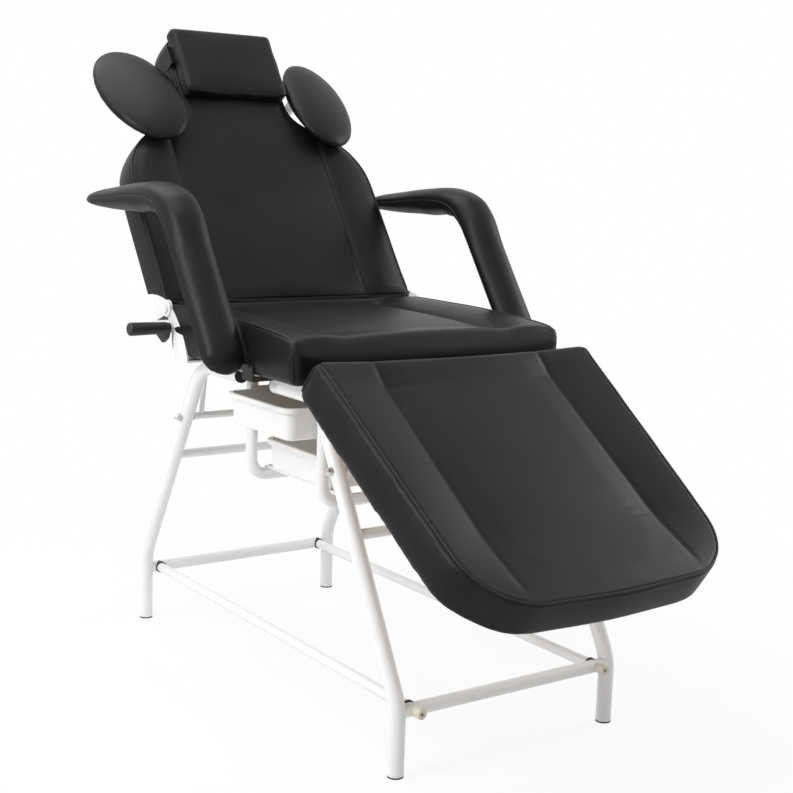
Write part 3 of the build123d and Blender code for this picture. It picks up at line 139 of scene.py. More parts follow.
class Shader:
    """A material built by nodes around one Principled shader."""

    def __init__(self, name, **constants):
        self.material = bpy.data.materials.new(name)
        self.material.use_nodes = True
        self.tree = self.material.node_tree
        self.surface = self.tree.nodes["Principled BSDF"]
        for socket, value in constants.items():
            self.surface.inputs[socket.replace("_", " ")].default_value = value
        self.place = self.node("ShaderNodeTexCoord", out="Object")

    def node(self, kind, settings=None, sockets=None, out=0):
        new = self.tree.nodes.new(kind)
        for key, value in (settings or {}).items():
            setattr(new, key, value)
        for key, value in (sockets or {}).items():
            if isinstance(value, Wire):
                self.tree.links.new(value.socket, new.inputs[key])
            else:
                new.inputs[key].default_value = value
        return Wire(self, new.outputs[out])

    def noise(self, scale, detail=2.0, rough=0.5, where=None):
        sockets = {"Vector": where or self.place, "Scale": scale, "Detail": detail, "Roughness": rough}
        return self.node("ShaderNodeTexNoise", {"normalize": True}, sockets)

    def cells(self, scale):
        return self.node("ShaderNodeTexVoronoi", None, {"Vector": self.place, "Scale": scale}, "Distance")

    def mix(self, factor, a, b):
        """From colour a at factor 0 to colour b at factor 1. The Mix node's colour sockets are named by number."""
        sockets = {"Factor": factor, MIX_A: a, MIX_B: b}
        return self.node("ShaderNodeMix", {"data_type": "RGBA"}, sockets, out=MIX_RESULT)

    def set(self, **wires):
        for socket, wire in wires.items():
            self.tree.links.new(wire.socket, self.surface.inputs[socket.replace("_", " ")])
        return self.material

    def bump(self, height, distance, strength=1.0):
        sockets = {"Height": height, "Distance": distance, "Strength": strength}
        return self.node("ShaderNodeBump", None, sockets, "Normal")


def grey(value, tint=(1.0, 1.0, 1.0)):
    return tuple(value * t for t in tint) + (1.0,)


def leatherette():
    """Black artificial leather: fine pebble grain, faint clouding and a soft sheen."""
    s = Shader("black_leatherette", Specular_IOR_Level=0.17)
    cloud = s.noise(9.0, 3.0)
    pebbles = s.cells(620.0)
    pores = s.noise(1900.0, 1.0)
    tone = s.mix(cloud.ramp(0.3, 0.7), grey(0.0050), grey(0.0078, (1.0, 0.98, 1.06)))
    rough = 0.33 + 0.07 * cloud + 0.10 * pebbles
    relief = pebbles * 0.7 + pores * 0.3
    return s.set(Base_Color=tone, Roughness=rough, Normal=s.bump(relief, 0.00010, 0.55))


def piping_vinyl():
    s = Shader("piping_vinyl", Specular_IOR_Level=0.25)
    cloud = s.noise(60.0, 2.0)
    ribs = s.noise(900.0, 1.0)
    tone = s.mix(cloud, grey(0.006), grey(0.010))
    return s.set(Base_Color=tone, Roughness=0.36 + 0.10 * cloud, Normal=s.bump(ribs, 0.00008, 0.4))


def powder_coat():
    """Gloss white powder coat with a slight orange peel."""
    s = Shader("white_powder_coat", Specular_IOR_Level=0.5, Coat_Weight=0.25, Coat_Roughness=0.12)
    peel = s.noise(420.0, 2.0)
    cloud = s.noise(7.0, 2.0)
    tone = s.mix(cloud, grey(0.79, (1.0, 1.0, 1.005)), grey(0.85))
    return s.set(Base_Color=tone, Roughness=0.30 + 0.10 * cloud, Normal=s.bump(peel, 0.00006, 0.6))


TRAY_PAINTED_SHADE_TOP = 0.592       # height below which the upward faces of the trays get painted shade, a tan tone


def moulded_white():
    """White moulded tray plastic, with painted shade as a tan tone on the floors of the trays."""
    s = Shader("white_tray_plastic", Specular_IOR_Level=0.5)
    grain = s.noise(1200.0, 1.0)
    cloud = s.noise(11.0, 2.0)
    height = s.node("ShaderNodeSeparateXYZ", None, {0: s.place}, out="Z")
    facing = s.node("ShaderNodeNewGeometry", out="Normal")
    up = s.node("ShaderNodeSeparateXYZ", None, {0: facing}, out="Z")
    low = (TRAY_PAINTED_SHADE_TOP - height).ramp(0.0, 0.004)
    # Painted shade: upward faces low in the trays are mixed towards tan, as the shade inside them
    painted_shade = up.ramp(0.3, 0.8) * low
    unshaded_white = s.mix(cloud, grey(0.80, (1.0, 0.995, 0.98)), grey(0.86, (1.0, 0.998, 0.99)))
    tone = s.mix(painted_shade * 0.85, unshaded_white, (0.66, 0.56, 0.44, 1.0))
    return s.set(Base_Color=tone, Roughness=0.34 + 0.08 * cloud, Normal=s.bump(grain, 0.00004, 0.5))


def moulded(name, tone_value, tint=(1.0, 1.0, 1.0), rough=0.5):
    """Matt moulded plastic or rubber."""
    s = Shader(name, Specular_IOR_Level=0.45)
    grain = s.noise(1500.0, 2.0)
    cloud = s.noise(40.0, 2.0)
    tone = s.mix(cloud, grey(tone_value * 0.85, tint), grey(tone_value * 1.15, tint))
    return s.set(Base_Color=tone, Roughness=rough + 0.12 * grain, Normal=s.bump(grain, 0.00006, 0.6))


def bare_metal(name, tone_value, rough):
    """Plated steel with fine handling marks."""
    s = Shader(name, Metallic=1.0)
    marks = s.noise(800.0, 3.0, 0.7)
    cloud = s.noise(70.0, 2.0)
    tone = s.mix(cloud, grey(tone_value * 0.9), grey(tone_value))
    return s.set(Base_Color=tone, Roughness=rough + 0.12 * marks, Normal=s.bump(marks, 0.00003, 0.5))


def ply():
    """Plywood panel backs, with long grain across the chair."""
    s = Shader("plywood", Specular_IOR_Level=0.3)
    stretched = s.node("ShaderNodeMapping", None, {"Vector": s.place, "Scale": (6.0, 90.0, 90.0)})
    grain = s.noise(3.0, 4.0, 0.6, stretched)
    tone = s.mix(grain.ramp(0.35, 0.65), (0.36, 0.25, 0.15, 1.0), (0.50, 0.37, 0.24, 1.0))
    return s.set(Base_Color=tone, Roughness=0.62 + 0.15 * grain, Normal=s.bump(grain, 0.0002, 0.4))


LEATHER = leatherette()
PIPING = piping_vinyl()
WHITE = powder_coat()
TRAY = moulded_white()
finishes = {
    "white_powder_coat": WHITE,
    "white_plastic": TRAY,
    "black_upholstery": LEATHER,
    "black_rubber": moulded("black_rubber", 0.014, rough=0.6),
    "black_plastic": moulded("black_plastic", 0.012, rough=0.42),
    "cream_plastic": moulded("cream_plastic", 0.66, (1.0, 0.94, 0.78), rough=0.45),
    "black_steel": bare_metal("black_oxide", 0.06, 0.4),
    "bright_steel": bare_metal("zinc_plate", 0.62, 0.30),
    "chrome": bare_metal("chrome_plate", 0.70, 0.12),
    "plywood": ply(),
}
# Fittings whose finish differs from their slot's
seen_as = {
    "arm_bracket_left": "black_steel",
    "arm_bracket_right": "black_steel",
    "recline_bolts": "white_powder_coat",
}
for entry in frame["record"]["subparts"]:
    node = nodes[entry["node"]]
    node.data.materials.clear()
    node.data.materials.append(finishes[seen_as.get(entry["node"], entry["material_slot"])])


# Making pieces
def add_mesh(name, mesh, body, material):
    """A piece at the origin, on its body and with its finish."""
    piece = bpy.data.objects.new(name, mesh)
    scene.collection.objects.link(piece)
    piece.data.materials.append(material)
    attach(piece, body)
    return piece


def from_bmesh(bm, name):
    mesh = bpy.data.meshes.new(name)
    bm.to_mesh(mesh)
    bm.free()
    return mesh


def smooth(mesh):
    mesh.polygons.foreach_set("use_smooth", [True] * len(mesh.polygons))


def points_of(mesh):
    co = np.empty(len(mesh.vertices) * 3)
    mesh.vertices.foreach_get("co", co)
    return co.reshape(-1, 3)


def put_points(mesh, co):
    mesh.vertices.foreach_set("co", co.ravel())
    mesh.update()


def to_local(matrix, co):
    inverse = np.array(matrix.inverted())
    return co @ inverse[:3, :3].T + inverse[:3, 3]


def to_world(matrix, co):
    m = np.array(matrix)
    return co @ m[:3, :3].T + m[:3, 3]


def even_skin(node, voxel):
    """The model's solid of a pad as a closed mesh of even small quads."""
    bm = bmesh.new()
    bm.from_mesh(nodes[node].data)
    bmesh.ops.remove_doubles(bm, verts=bm.verts, dist=0.02 * MM)
    skin = bpy.data.objects.new("skin", from_bmesh(bm, "skin"))
    scene.collection.objects.link(skin)
    remesh = skin.modifiers.new("remesh", "REMESH")
    remesh.mode = "VOXEL"
    remesh.voxel_size = voxel
    remesh.adaptivity = 0.0
    return bake(skin)


def bake(thing):
    """Applies a scratch object's modifiers, removes the object and gives its mesh."""
    graph = bpy.context.evaluated_depsgraph_get()
    mesh = bpy.data.meshes.new_from_object(thing.evaluated_get(graph))
    bpy.data.objects.remove(thing)
    return mesh


def puff(mesh, held, pressure, cap, frames=14):
    """Fills the skin like a stuffed cover. Held points stay, and none moves further than cap."""
    start = points_of(mesh)
    cover = bpy.data.objects.new("cover", mesh)
    scene.collection.objects.link(cover)
    group = cover.vertex_groups.new(name="held")
    group.add([int(i) for i in np.flatnonzero(held)], 1.0, "REPLACE")
    cloth = cover.modifiers.new("cloth", "CLOTH")
    cloth.settings.quality = 4
    cloth.settings.vertex_group_mass = "held"
    cloth.settings.use_pressure = True
    cloth.settings.uniform_pressure_force = pressure
    cloth.settings.effector_weights.gravity = 0.0
    cloth.point_cache.frame_start = 1
    cloth.point_cache.frame_end = frames
    for step in range(1, frames + 1):
        scene.frame_set(step)
    graph = bpy.context.evaluated_depsgraph_get()
    moved = points_of(cover.evaluated_get(graph).data)
    scene.frame_set(1)
    shift = moved - start
    far = np.linalg.norm(shift, axis=1, keepdims=True)
    shift *= np.minimum(1.0, cap / np.maximum(far, 1e-9))
    cover.modifiers.clear()
    bpy.data.objects.remove(cover)
    put_points(mesh, start + shift)


def relax(mesh, rounds):
    bm = bmesh.new()
    bm.from_mesh(mesh)
    for _ in range(rounds):
        bmesh.ops.smooth_vert(bm, verts=bm.verts, factor=0.5, use_axis_x=True, use_axis_y=True, use_axis_z=True)
    bm.to_mesh(mesh)
    bm.free()


def nearest(line, co):
    """Distance from each point to a polyline, and the nearest places on it."""
    a, ab = line[:-1], np.diff(line, axis=0)
    size = (ab ** 2).sum(1)
    gaps, places = [], []
    for i in range(0, len(co), 3000):
        p = co[i:i + 3000, None, :]
        t = np.clip(((p - a) * ab).sum(2) / size, 0, 1)
        q = a + t[..., None] * ab
        gap = np.linalg.norm(p - q, axis=2)
        best = gap.argmin(1)
        rows = np.arange(len(best))
        gaps.append(gap[rows, best])
        places.append(q[rows, best])
    return np.concatenate(gaps), np.concatenate(places)


def within(line, flat):
    """Whether points of a plane lie inside a closed line, by counting its crossings."""
    a, b = line[:-1], line[1:]
    rise = np.where(b[:, 1] == a[:, 1], 1e-12, b[:, 1] - a[:, 1])
    odd = []
    for i in range(0, len(flat), 3000):
        x, y = flat[i:i + 3000, :1], flat[i:i + 3000, 1:]
        spans = (a[:, 1] > y) != (b[:, 1] > y)
        odd.append((spans & (x < a[:, 0] + (y - a[:, 1]) / rise * (b[:, 0] - a[:, 0]))).sum(1) % 2 == 1)
    return np.concatenate(odd)


def ease(x, low, high):
    """0 below low, 1 above high, smooth between."""
    t = np.clip((x - low) / (high - low), 0, 1)
    return t * t * (3 - 2 * t)


def seam_groove(mesh, lines, depth, width):
    """Draws the skin in beside its seams."""
    co = points_of(mesh)
    normals = np.empty(len(mesh.vertices) * 3)
    mesh.vertex_normals.foreach_get("vector", normals)
    pull = np.zeros(len(co))
    for line in lines:
        pull = np.maximum(pull, np.exp(-(nearest(line, co)[0] / width) ** 2))
    put_points(mesh, co - normals.reshape(-1, 3) * (pull * depth)[:, None])


UNDER_R = 9 * MM        # radius of a panel's lower edge
RIM_W = 25.5 * MM       # leatherette turned in under a panel, round its board
RIM_BAND = (RIM_W - 5 * MM, RIM_W + 2 * MM)     # underside drawn to the rim's inner edge
WALL_END = RIM_W + 8.5 * MM                     # underside beyond the rim that becomes its inner wall
BOARD_DEPTH = 12.5 * MM
UPPER_SHARE = 0.6       # share of a panel's thickness that counts as its upper part


def shape_panel(mesh, matrix, outline, thickness, top, side, edge_r, stretch=1.0):
    """Sets a panel's skin to its own shape. outline is its closed plan, top(x, y, depth) the height of its
    upper face, side(x, y, z) how far its wall stands out, and edge_r(way) the radius of its upper edge.
    The solid's length is first stretched to the outline's."""
    local = to_local(matrix, points_of(mesh))
    local[:, 1] *= stretch
    x, y, z = local.T
    gap, place = nearest(outline, local[:, :2])
    sign = np.where(within(outline, local[:, :2]), 1.0, -1.0)
    depth = gap * sign
    way = (place - local[:, :2]) * (sign / np.maximum(gap, 1e-6))[:, None]
    height = top(x, y, np.maximum(depth, 0))
    upper = z > -thickness * UPPER_SHARE
    r = np.where(upper, edge_r(way), UNDER_R)
    core_d = np.maximum(depth, r)
    core_z = np.clip(z, UNDER_R - thickness, height - r)
    off_d, off_z = depth - core_d, z - core_z
    size = np.maximum(np.hypot(off_d, off_z), 1e-6)
    new_d = np.where(depth < r, core_d + off_d / size * r, depth)
    new_z = np.where(depth < r, core_z + off_z / size * r, np.where(upper, height, -thickness))
    under = ~upper & (depth >= r)
    rim = under & (depth > RIM_BAND[0]) & (depth < RIM_BAND[1])
    wall = under & (depth >= RIM_BAND[1]) & (depth < WALL_END)
    new_d = np.where(rim | wall, RIM_W, new_d)
    new_z = np.where(under & (depth >= RIM_BAND[1]), BOARD_DEPTH - thickness, new_z)
    stand = side(x, y, new_z) * ease(-depth, -30 * MM, -4 * MM)
    local[:, :2] += way * (depth - new_d + stand)[:, None]
    local[:, 2] = new_z
    put_points(mesh, to_world(matrix, local))


def finer(mesh):
    """A copy of a mesh, subdivided once."""
    thing = bpy.data.objects.new("finer", mesh.copy())
    scene.collection.objects.link(thing)
    once = thing.modifiers.new("once", "SUBSURF")
    once.levels = once.render_levels = 1
    return bake(thing)


def pad(name, mesh, body, node):
    """A finished pad in place of the model's solid."""
    smooth(mesh)
    piece = add_mesh(name, mesh, body, LEATHER)
    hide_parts(node)
    return piece


def piping(name, lines, body, cover, radius=2.0 * MM, cyclic=False, sunk=0.3):
    """Welt cord along seams, laid on its cover's skin and sunk into it by a share of its radius."""
    skin = bmesh.new()
    skin.from_mesh(cover.data)
    tree = BVHTree.FromBMesh(skin)
    skin.free()
    curve = bpy.data.curves.new(name, "CURVE")
    curve.dimensions = "3D"
    curve.bevel_depth = radius
    curve.bevel_resolution = 3
    for line in lines:
        laid = []
        for co in line:
            place, normal, _, _ = tree.find_nearest(Vector(co))
            laid.append(place + normal * radius * (1 - sunk))
        co = np.array([tuple(v) for v in laid])
        for _ in range(3):
            if cyclic:
                co = (np.roll(co, 1, 0) + 2 * co + np.roll(co, -1, 0)) / 4
            else:
                co[1:-1] = (co[:-2] + 2 * co[1:-1] + co[2:]) / 4
        spline = curve.splines.new("POLY")
        spline.points.add(len(co) - 1)
        spline.points.foreach_set("co", np.column_stack([co, np.ones(len(co))]).ravel())
        spline.use_cyclic_u = cyclic
    piece = bpy.data.objects.new(name, curve)
    scene.collection.objects.link(piece)
    curve.materials.append(PIPING)
    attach(piece, body)
    return piece


def rounded_path(corners, radii, step=6 * MM):
    """Points along a polygon whose corners are rounded, in its own plane. Closed."""
    out = []
    count = len(corners)
    for i, (corner, radius) in enumerate(zip(corners, radii)):
        p = Vector(corner)
        before = (Vector(corners[i - 1]) - p).normalized()
        after = (Vector(corners[(i + 1) % count]) - p).normalized()
        half = before.angle(after) / 2
        centre = p + (before + after).normalized() * (radius / math.sin(half))
        start = p + before * (radius / math.tan(half)) - centre
        end = p + after * (radius / math.tan(half)) - centre
        turn = start.angle_signed(end)
        steps = max(2, int(abs(turn) * radius / step))
        for k in range(steps + 1):
            out.append(centre + Matrix.Rotation(-turn * k / steps, 2) @ start)
    dense = []
    for a, b in zip(out, out[1:] + out[:1]):
        cuts = max(1, round((b - a).length / step))
        dense += [a.lerp(b, k / cuts) for k in range(cuts)]
    return np.array([tuple(p) for p in dense])


def closed(line):
    return np.vstack([line, line[:1]])


# The three panels
SEAM_IN = 1.5 * MM      # seam's place inside a panel's outline
TOP_R = 5 * MM          # radius of a panel's upper edge beside its piping
SKIN_CELL = 6.5 * MM
SEAM_HOLD = 8 * MM      # beside seams and creases the stuffing can't lift the cover
CREASE_HOLD = 4 * MM
PANEL_FILL = 3.0        # pressure of the stuffing
CREASE_FADE = 0.05      # length over which a crease dies away at its ends
TOP_PART = 0.04         # depth that the creases reach at most
VALLEY = (2.0 * MM, 6 * MM)     # a crease's depth and half width
SEAM_DIP = (1.4 * MM, 4.0 * MM)  # a seam's depth and half width


def mirrored(half):
    """A closed outline from its half with x above 0, given from the middle of one end to the other."""
    return half + [(-x, y) for x, y in reversed(half)]


def panel(name, node, body, matrix, thickness, outline, top, side, edge_r, seams, cap, creases, stretch=1.0):
    """A firm panel: shaped, puffed between its seams, drawn in along them and creased twice.
    The stuffing works on a coarse skin. The shape is then set again on a finer one, which takes that fill over."""
    mesh = even_skin(node, SKIN_CELL)
    relax(mesh, 2)
    shape_panel(mesh, matrix, outline, thickness, top, side, edge_r, stretch)
    relax(mesh, 1)
    co = points_of(mesh)
    local = to_local(matrix, co)
    near_seam = np.zeros(len(co), bool)
    for line in seams:
        near_seam |= nearest(line, co)[0] < SEAM_HOLD
    upper = local[:, 2] > -TOP_PART
    ends = (local[:, 1] > creases[0]) & (local[:, 1] < creases[1])
    crease = upper & ends & (np.abs(np.abs(local[:, 0]) - CREASE_X) < CREASE_HOLD)
    under = local[:, 2] < -thickness * 0.86
    flat = finer(mesh)
    puff(mesh, near_seam | crease | under, PANEL_FILL, cap)
    filled = points_of(finer(mesh)) - points_of(flat)
    mesh = flat
    coarse = points_of(mesh)
    shape_panel(mesh, matrix, outline, thickness, top, side, edge_r)
    share = ease(to_local(matrix, coarse)[:, 2], -UPPER_SHARE * thickness, -0.45 * thickness)[:, None]
    put_points(mesh, coarse + (points_of(mesh) - coarse) * share + filled)
    relax(mesh, 2)
    local = to_local(matrix, points_of(mesh))
    first, last = creases
    fade = ease(local[:, 1], first, first + CREASE_FADE) * ease(-local[:, 1], -last, CREASE_FADE - last)
    valley = np.exp(-((np.abs(local[:, 0]) - CREASE_X) / VALLEY[1]) ** 2) * fade * (local[:, 2] > -TOP_PART)
    local[:, 2] -= VALLEY[0] * valley
    put_points(mesh, to_world(matrix, local))
    seam_groove(mesh, seams, *SEAM_DIP)
    return pad(name, mesh, body, node)


def inner_line(outline, matrix, height, inset=SEAM_IN):
    """The seam just inside a closed outline, at its height, in the chair's frame."""
    nxt, before = np.roll(outline[:-1], -1, axis=0), np.roll(outline[:-1], 1, axis=0)
    along = nxt - before
    inward = np.column_stack([-along[:, 1], along[:, 0]]) / np.linalg.norm(along, axis=1, keepdims=True)
    flat = outline[:-1] + inward * inset
    if not within(outline, flat[:1])[0]:
        flat = outline[:-1] - inward * inset
    return to_world(matrix, np.column_stack([flat, np.full(len(flat), height)]))


def even_edge(radius):
    return lambda way: np.full(len(way), radius)


# Backrest: shallow crown between two creases, bolsters beyond them, a waisted head end
BACK_L = 0.712
back_half = [(PANEL_SIDE + 0.004, -0.002), (PANEL_SIDE, 0.060), (PANEL_SIDE, 0.390), (0.138, 0.487), (0.138, BACK_L)]
back_radii = [0.014, 0.2, 0.150, 0.066, 0.058]
back_outline = closed(rounded_path(mirrored(back_half), back_radii + back_radii[::-1]))
PANEL_EDGE_RISE = 0.003     # a panel's top above its seam, at the creases
BACK_CROWN = 0.011
BACK_BOLSTER = 0.009


def back_top(x, y, depth):
    a = np.abs(x)
    middle = PANEL_EDGE_RISE + BACK_CROWN * (1 - (a / CREASE_X) ** 2)
    across = np.clip((a - CREASE_X) / (PANEL_SIDE - CREASE_X), 0, 1)
    bolster = PANEL_EDGE_RISE + BACK_BOLSTER * np.sin(np.pi * across ** 0.75)
    crown = np.where(a < CREASE_X, middle, bolster)
    return crown * ease(depth, -0.010, 0.030)


def back_side(x, y, z):
    return 0.003 * np.sin(np.pi * np.clip(-z / PANEL_T, 0, 1))


back_seam = inner_line(back_outline, back_frame, 0.0)
back_pad = panel(
    "backrest_pad", "backrest_cushion", "backrest", back_frame, PANEL_T, back_outline,
    back_top, back_side, even_edge(TOP_R), [closed(back_seam)], 4 * MM, (0.01, 0.43),
)
piping("backrest_piping", [back_seam], "backrest", back_pad, cyclic=True)

# Leg rest: dished, with sides that stand out towards the underside
leg_half = [
    (PANEL_SIDE + 0.006, 0.003), (PANEL_SIDE + 0.001, -0.030), (0.303, -0.265),
    (0.2935, -0.440), (0.2830, -0.577), (0.0, -0.590),
]
leg_ring = leg_half + [(-x, y) for x, y in reversed(leg_half[:-1])]
leg_radii = [0.012, 0.08, 1.5, 0.3, 0.128]
leg_outline = closed(rounded_path(leg_ring, leg_radii + [1.2] + leg_radii[::-1]))
REAR_R = 13 * MM        # radius of the rear edge, which has no piping
LEG_DISH = 0.018
LEG_FLARE = 0.016       # how far the sides stand out at the underside


def leg_top(x, y, depth):
    a = np.abs(x)
    edge = 0.309 + 0.035 * y
    across = np.clip((edge - a) / (edge - CREASE_X), 0, 1)
    bolster = -across ** 1.25
    middle = -1 + 0.25 * (1 - (np.minimum(a, CREASE_X) / CREASE_X) ** 2)
    foot = ease(y, -0.588, -0.400)
    rear = 0.45 + 0.55 * ease(-y, 0.0, 0.070)
    return LEG_DISH * np.where(a < CREASE_X, middle, bolster) * foot * rear


def leg_side(x, y, z):
    down = np.clip(-z / PANEL_T, 0, 1)
    reach = LEG_FLARE * ease(y, -0.555, -0.455) * ease(-y, -0.02, 0.03) + 0.002
    return reach * np.sin(np.pi / 2 * down ** 0.8)


def leg_edge(way):
    return TOP_R + (REAR_R - TOP_R) * ease(way[:, 1], 0.6, 1.0)


leg_ring_seam = inner_line(leg_outline, leg_frame, 0.0)
leg_local = to_local(leg_frame, leg_ring_seam)
foot_way = np.argsort(np.unwrap(np.arctan2(leg_local[:, 0], leg_local[:, 1] + 0.29)))
along_sides = leg_local[foot_way]
along_sides = along_sides[(along_sides[:, 1] < -0.006) | (np.abs(along_sides[:, 0]) > PANEL_SIDE + 0.003)]
start = int(np.argmax(np.linalg.norm(np.diff(along_sides, axis=0), axis=1)))
if np.linalg.norm(along_sides[start + 1] - along_sides[start]) > 0.05:
    along_sides = np.roll(along_sides, -start - 1, axis=0)
# The seam goes on down both rear corners
leg_run = []
for end, step in ((along_sides[0], 1), (along_sides[-1], -1)):
    t = np.linspace(0.1, 1, 14)
    out = np.sign(end[0]) * (PANEL_SIDE + 0.004 + 0.008 * t)
    down = np.column_stack([out, 0.001 + 0.002 * t, -t * PANEL_T * 0.93])
    leg_run.append(down[::-1] if step == 1 else down)
leg_seam = to_world(leg_frame, np.vstack([leg_run[0], along_sides, leg_run[1]]))
leg_pad = panel(
    "legrest_pad", "legrest_cushion", "legrest", leg_frame, PANEL_T, leg_outline,
    leg_top, leg_side, leg_edge, [leg_seam], 2.5 * MM, (-0.56, 0.02), 1.014,
)
piping("legrest_piping", [leg_seam], "legrest", leg_pad)

# Seat: bolsters beside a sunk middle, a rolled front
NOSE_R = 0.024
seat_half = [(PANEL_SIDE, SEAT_HALF_L), (PANEL_SIDE, -0.150), (PANEL_SIDE + 0.003, -SEAT_HALF_L - 0.001)]
seat_outline = closed(rounded_path(mirrored(seat_half), [0.014, 0.3, 0.016, 0.016, 0.3, 0.014]))
# Height of its side seams, in mm, by the place along it
seat_rise = np.array([
    (-0.275, -31.0), (-0.238, -19.5), (-0.200, -15.0), (-0.146, -10.0),
    (-0.071, -6.0), (0.031, -3.0), (0.158, -2.0), (0.30, -2.0),
])
seat_corner_run = [(-0.241, -24), (-0.246, -33), (-0.248, -45), (-0.249, -70), (-0.249, -97)]
SEAT_SINK = 0.014


def seat_line(y):
    """Height of the seat's side seams."""
    return np.interp(y, seat_rise[:, 0], seat_rise[:, 1] * MM)


def seat_top(x, y, depth):
    a = np.abs(x)
    sink = ease(y, -SEAT_HALF_L, -SEAT_HALF_L + 0.11)
    crease = -SEAT_SINK * sink
    middle = crease + 0.003 * (1 - (np.minimum(a, CREASE_X) / CREASE_X) ** 2)
    t = np.clip((a - CREASE_X) / (PANEL_SIDE - CREASE_X), 0, 1)
    bolster = crease * (1 - t) ** 1.5 + 0.005 * np.sin(np.pi * t)
    return seat_line(y) + np.where(a < CREASE_X, middle, bolster) * ease(depth, -0.004, 0.02)


def seat_side(x, y, z):
    return 0.004 * np.sin(np.pi * np.clip(-z / SEAT_T, 0, 1))


def seat_edge(way):
    front = np.clip(-way[:, 1], 0, 1)
    return TOP_R + (NOSE_R - TOP_R) * ease(front, 0.6, 1.0)


seat_seams = []
for hand in (-1, 1):
    ys = np.linspace(SEAT_HALF_L - 0.004, -0.236, 60)
    run = [(hand * (PANEL_SIDE - SEAM_IN), y, h) for y, h in zip(ys, seat_line(ys))]
    corner = hand * (PANEL_SIDE + 0.003)
    run += [(corner, y, z * MM) for y, z in seat_corner_run]
    seat_seams.append(to_world(seat_frame, np.array(run)))
seat_pad = panel(
    "seat_pad", "seat_cushion", "frame", seat_frame, SEAT_T, seat_outline,
    seat_top, seat_side, seat_edge, seat_seams, 3 * MM, (-0.20, 0.30),
)
piping("seat_piping", seat_seams, "frame", seat_pad)


# Smaller pads
def stuffed(node, voxel, rounds, pressure, cap):
    """The skin of a small pad, rounded and filled all round."""
    mesh = even_skin(node, voxel)
    relax(mesh, rounds)
    puff(mesh, np.zeros(len(mesh.vertices), bool), pressure, cap)
    relax(mesh, 1)
    return mesh


def other_side(mesh):
    """A mirror image across the chair."""
    bm = bmesh.new()
    bm.from_mesh(mesh)
    bmesh.ops.scale(bm, vec=(-1, 1, 1), verts=bm.verts)
    bmesh.ops.reverse_faces(bm, faces=bm.faces)
    return from_bmesh(bm, mesh.name)


PILLOW_LOW = (-0.131, 0.527, 0.004)
PILLOW_HIGH = (0.131, 0.702, 0.042)
PILLOW_R = 10 * MM
PILLOW_CROWN = 4.5 * MM
PILLOW_LIFT = 10.5 * MM     # hollow of its underside, over the backrest's crown
PILLOW_SEAM = 0.039


def pillow_cover():
    """A boxy pillow with rounded edges, in the backrest's frame: a soft crown and a gathered lower side."""
    bm = bmesh.new()
    bmesh.ops.create_cube(bm, size=2.0)
    bmesh.ops.subdivide_edges(bm, edges=bm.edges, cuts=35, use_grid_fill=True)
    mesh = from_bmesh(bm, "pillow")
    unit = points_of(mesh)
    low, high = np.array(PILLOW_LOW), np.array(PILLOW_HIGH)
    half, middle = (high - low) / 2, (high + low) / 2
    co = unit * half
    core = np.clip(co, PILLOW_R - half, half - PILLOW_R)
    off = co - core
    reach = np.abs(off).max(1, keepdims=True)
    co = core + off / np.maximum(np.linalg.norm(off, axis=1, keepdims=True), 1e-9) * reach
    x, y, z = unit.T
    co[:, 2] += np.where(z > 0, PILLOW_CROWN * (1 - x ** 4) * (1 - y ** 4), 0)
    co[:, 2] += np.where(z < 0, -z, 0) * PILLOW_LIFT * (1 - x ** 4)
    gathered = ease(-y, 0.90, 1.0) * (1 - np.abs(z) ** 3)
    co[:, 1] += gathered * (1.3 * MM * np.sin(x * 11 + 2.0 * z) * np.sin(x * 4.3 + 1.0) - 1.5 * MM)
    sides = ease(np.abs(x), 0.94, 1.0) * (1 - np.abs(z) ** 3)
    co[:, 0] += np.sign(x) * sides * (1.2 * MM * np.sin(y * 8 + 1.5 * z) + 1.0 * MM)
    co[:, 2] -= 3.0 * MM * ease(-y, 0.6, 1.0) * (1 - x ** 2) * (z > 0)
    put_points(mesh, to_world(back_frame, co + middle))
    return mesh


def on_head(co):
    """The pillow's underside."""
    return to_local(back_frame, co)[:, 2] < 0.016


head = pillow_cover()
rim = [(-0.127, 0.531), (0.127, 0.531), (0.127, 0.698), (-0.127, 0.698)]
rim_line = rounded_path(rim, [0.006] * 4)
head_seam = closed(to_world(back_frame, np.column_stack([rim_line, np.full(len(rim_line), PILLOW_SEAM)])))
at_seam = nearest(head_seam, points_of(head))[0] < 5 * MM
puff(head, on_head(points_of(head)) | at_seam, 2.0, 2 * MM)
relax(head, 1)
seam_groove(head, [head_seam], 0.9 * MM, 2.5 * MM)
pad("headrest_pillow", finer(head), "headrest", "pillow")

ear = stuffed("ear_pad_left", 5 * MM, 2, 3.0, 3 * MM)
pad("ear_pad_left_cover", finer(ear), "ear_left", "ear_pad_left")
pad("ear_pad_right_cover", finer(other_side(ear)), "ear_right", "ear_pad_right")

# Armrests: a post and an arm with a domed front, closed by a flatter back along a piped seam
ARM_X = 0.3665
ARM_HALF_W = 0.043
arm_seam = np.array([
    (-0.0640, 0.6650), (-0.0180, 0.7310), (0.0430, 0.8180), (0.0970, 0.8950), (0.1270, 0.9370), (0.1520, 0.9640),
    (0.1800, 0.9810), (0.2150, 0.9880), (0.2600, 0.9885), (0.3300, 0.9850), (0.4200, 0.9770), (0.4900, 0.9720),
    (0.5500, 0.9690),
])
# By distance along the seam: height of the dome above it, depth of the back below it
arm_depths = np.array([
    (0.00, 0.031, 0.004), (0.05, 0.036, 0.006), (0.26, 0.038, 0.007), (0.33, 0.044, 0.009), (0.37, 0.042, 0.016),
    (0.41, 0.033, 0.027), (0.50, 0.028, 0.033), (0.60, 0.024, 0.026), (0.68, 0.022, 0.018), (0.74, 0.018, 0.012),
])


